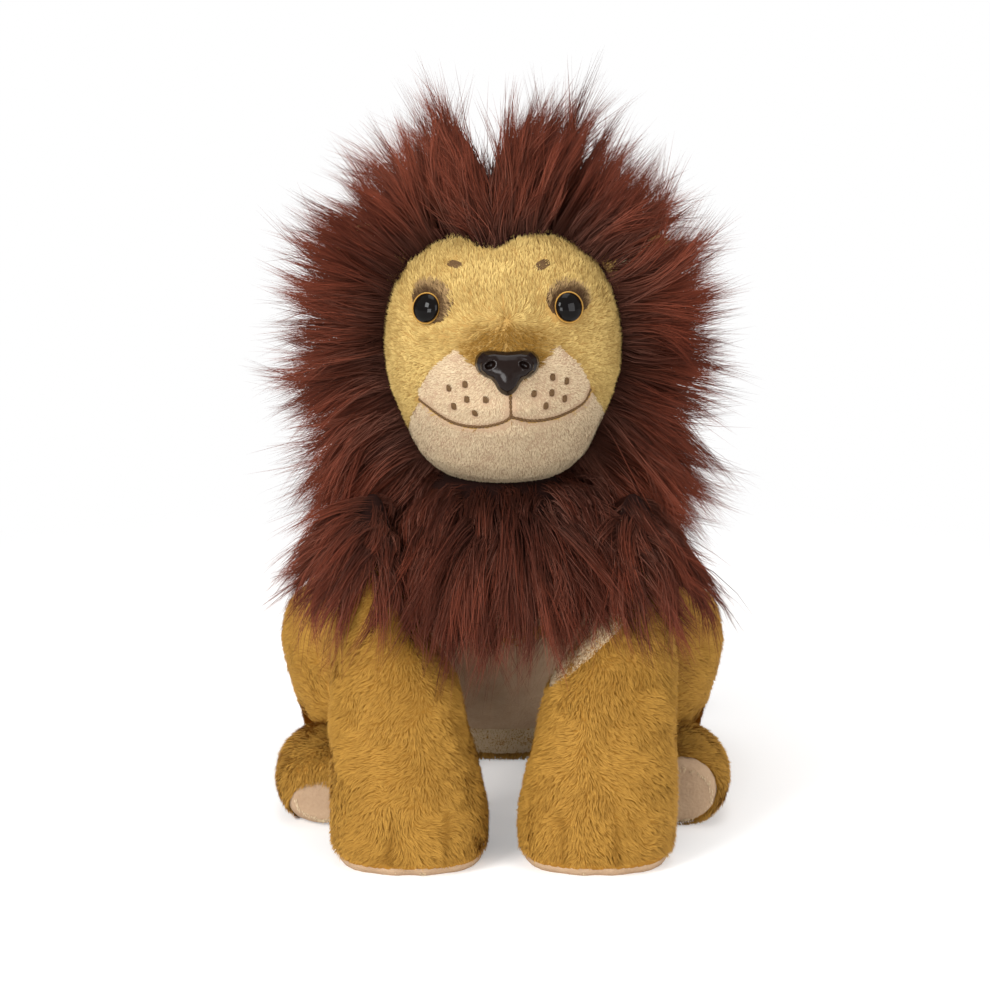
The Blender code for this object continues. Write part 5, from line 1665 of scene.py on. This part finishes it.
@dataclass
class Ears:
    """The small ears in the mane."""

    coat: Coat = Coat(2.6, 0.0032, 0.00038, 50.0, 22.0, 0.0026, 0.45, 0.45, 0.35)

    def build(self) -> None:
        """Makes each ear, its lining and their pile."""
        for seed, side in enumerate(Side, 70):
            name, lining = f"ear_{side.label}", f"ear_lining_{side.label}"
            whole = stuffed(f"{name}_skin", (name, lining), 0.8, 6, 0.15)
            dress(whole, FACE_CLOTH, name, [name])
            inner = stuffed(f"{lining}_skin", (lining,), 0.4, 5, 0.30)
            dress(inner, CREAM_CLOTH, name, [lining])

            def comb(places: Array, outward: Array, way: float = side.value) -> Array:
                """Outwards from the head."""
                return np.tile([[way * 0.8, 0.0, 0.6]], (len(places), 1))

            outer_skin, inner_skin = Skin.read(whole), Skin.read(inner)
            pile = self.coat.grow(f"{name}_pile", outer_skin, seed, comb, None, [inner_skin])
            dress(pile, FACE_PILE, name)
            pile = self.coat.grow(f"{lining}_pile", inner_skin, seed + 2, comb, None, [outer_skin])
            dress(pile, CREAM_PILE, name)


@dataclass
class Tail:
    """The tail and its brown tuft."""

    coat: Coat = Coat(1.8, 0.0050, 0.00048, 58.0, 16.0, 0.0034, 0.45, 0.40, 0.40)
    middle: tuple = (0.030, 0.040, 0.010)
    tuft_strands: int = 5200
    tuft_density: float = 6.0
    strand_length: float = 0.0125
    strand_width: float = 0.00032
    strand_taper: tuple = (0.9, 1.0, 0.9, 0.6, 0.0)
    lowest: float = 0.0004

    def build(self) -> None:
        """Makes the tail's skin and pile, and the long fur of the tuft."""
        skin = dress(stuffed("tail_skin", ("tail",), 0.9, 6, 0.15), GOLD_CLOTH, "tail", ["tail"])
        pile = self.coat.grow("tail_pile", Skin.read(skin), 80, self._comb, off_floor)
        dress(pile, GOLD_PILE, "tail")
        core = stuffed("tail_tuft_skin", ("tail_tuft",), 0.8, 10, -0.6)
        dress(core, MANE_CLOTH, "tail", ["tail_tuft"])
        self._tuft(Skin.read(core))

    def _comb(self, places: Array, outward: Array) -> Array:
        """Along the tail, from its root to the tuft."""
        x, y, _ = (places - np.array(self.middle)).T
        return rows(y, -x, 0.0)

    def _tuft(self, skin: Skin) -> None:
        """The long fur of the tuft."""
        rng = np.random.default_rng(90)
        places, outward = skin.sample(self.tuft_density, rng)
        chosen = (places[:, 2] > 0.0015) & (rng.random(len(places)) < self.tuft_strands / len(places))
        places, outward = places[chosen], outward[chosen]
        count = len(places)
        middle, tone = nearest_tuft(places, 0.0045, 91)
        draw = (middle - places) * 0.5
        ahead = along_surface(self._comb(places, outward), outward)
        start = unit(ahead + outward * 0.55 + rng.normal(size=(count, 3)) * 0.12)
        length = (self.strand_length * (1 + 0.15 * rng.normal(size=count)))[:, None]
        elbow = places + start * length * 0.5 + draw * 0.5
        tip = elbow + unit(ahead + outward * 0.12 + rng.normal(size=(count, 3)) * 0.10) * length * 0.5 + draw
        paths = curves(places, elbow, tip, np.linspace(0, 1, len(self.strand_taper)))
        paths[:, :, 2] = np.maximum(paths[:, :, 2], self.lowest)
        widths = self.strand_width * (0.75 + 0.5 * rng.random((count, 1))) * np.array([self.strand_taper])
        tones = 0.42 + 0.25 * tone + 0.14 * rng.normal(size=count)
        fur = Fibres(paths, widths, tones, outward, rng.uniform(-1, 1, count), 0.45).make("tail_tuft_fur")
        dress(fur, MANE_PILE, "tail")


class Inside:
    """What the seams hide: the washers and the pellet bag."""

    FINISHES = {
        "eye_left_washer": WASHER_PLASTIC,
        "eye_right_washer": WASHER_PLASTIC,
        "nose_washer": WASHER_PLASTIC,
        "seat_pellet_bag": BAG_CLOTH,
    }

    def build(self) -> None:
        """Gives the hidden CAD nodes their finishes."""
        for name, finish in self.FINISHES.items():
            for slot in frame["nodes"][name].material_slots:
                slot.material = material_of(finish)
            LOG.info("%s: %s", name, finish.name)


def main() -> None:
    """Builds the lion and its studio."""
    logging.basicConfig(level=logging.INFO, format="%(message)s", stream=sys.stdout)
    Studio().build()
    face = Face()
    face.build()
    limbs = Limbs()
    limbs.build()
    Mane().build(face, limbs)
    Ears().build()
    Tail().build()
    Inside().build()


if __name__ == "__main__":
    main()
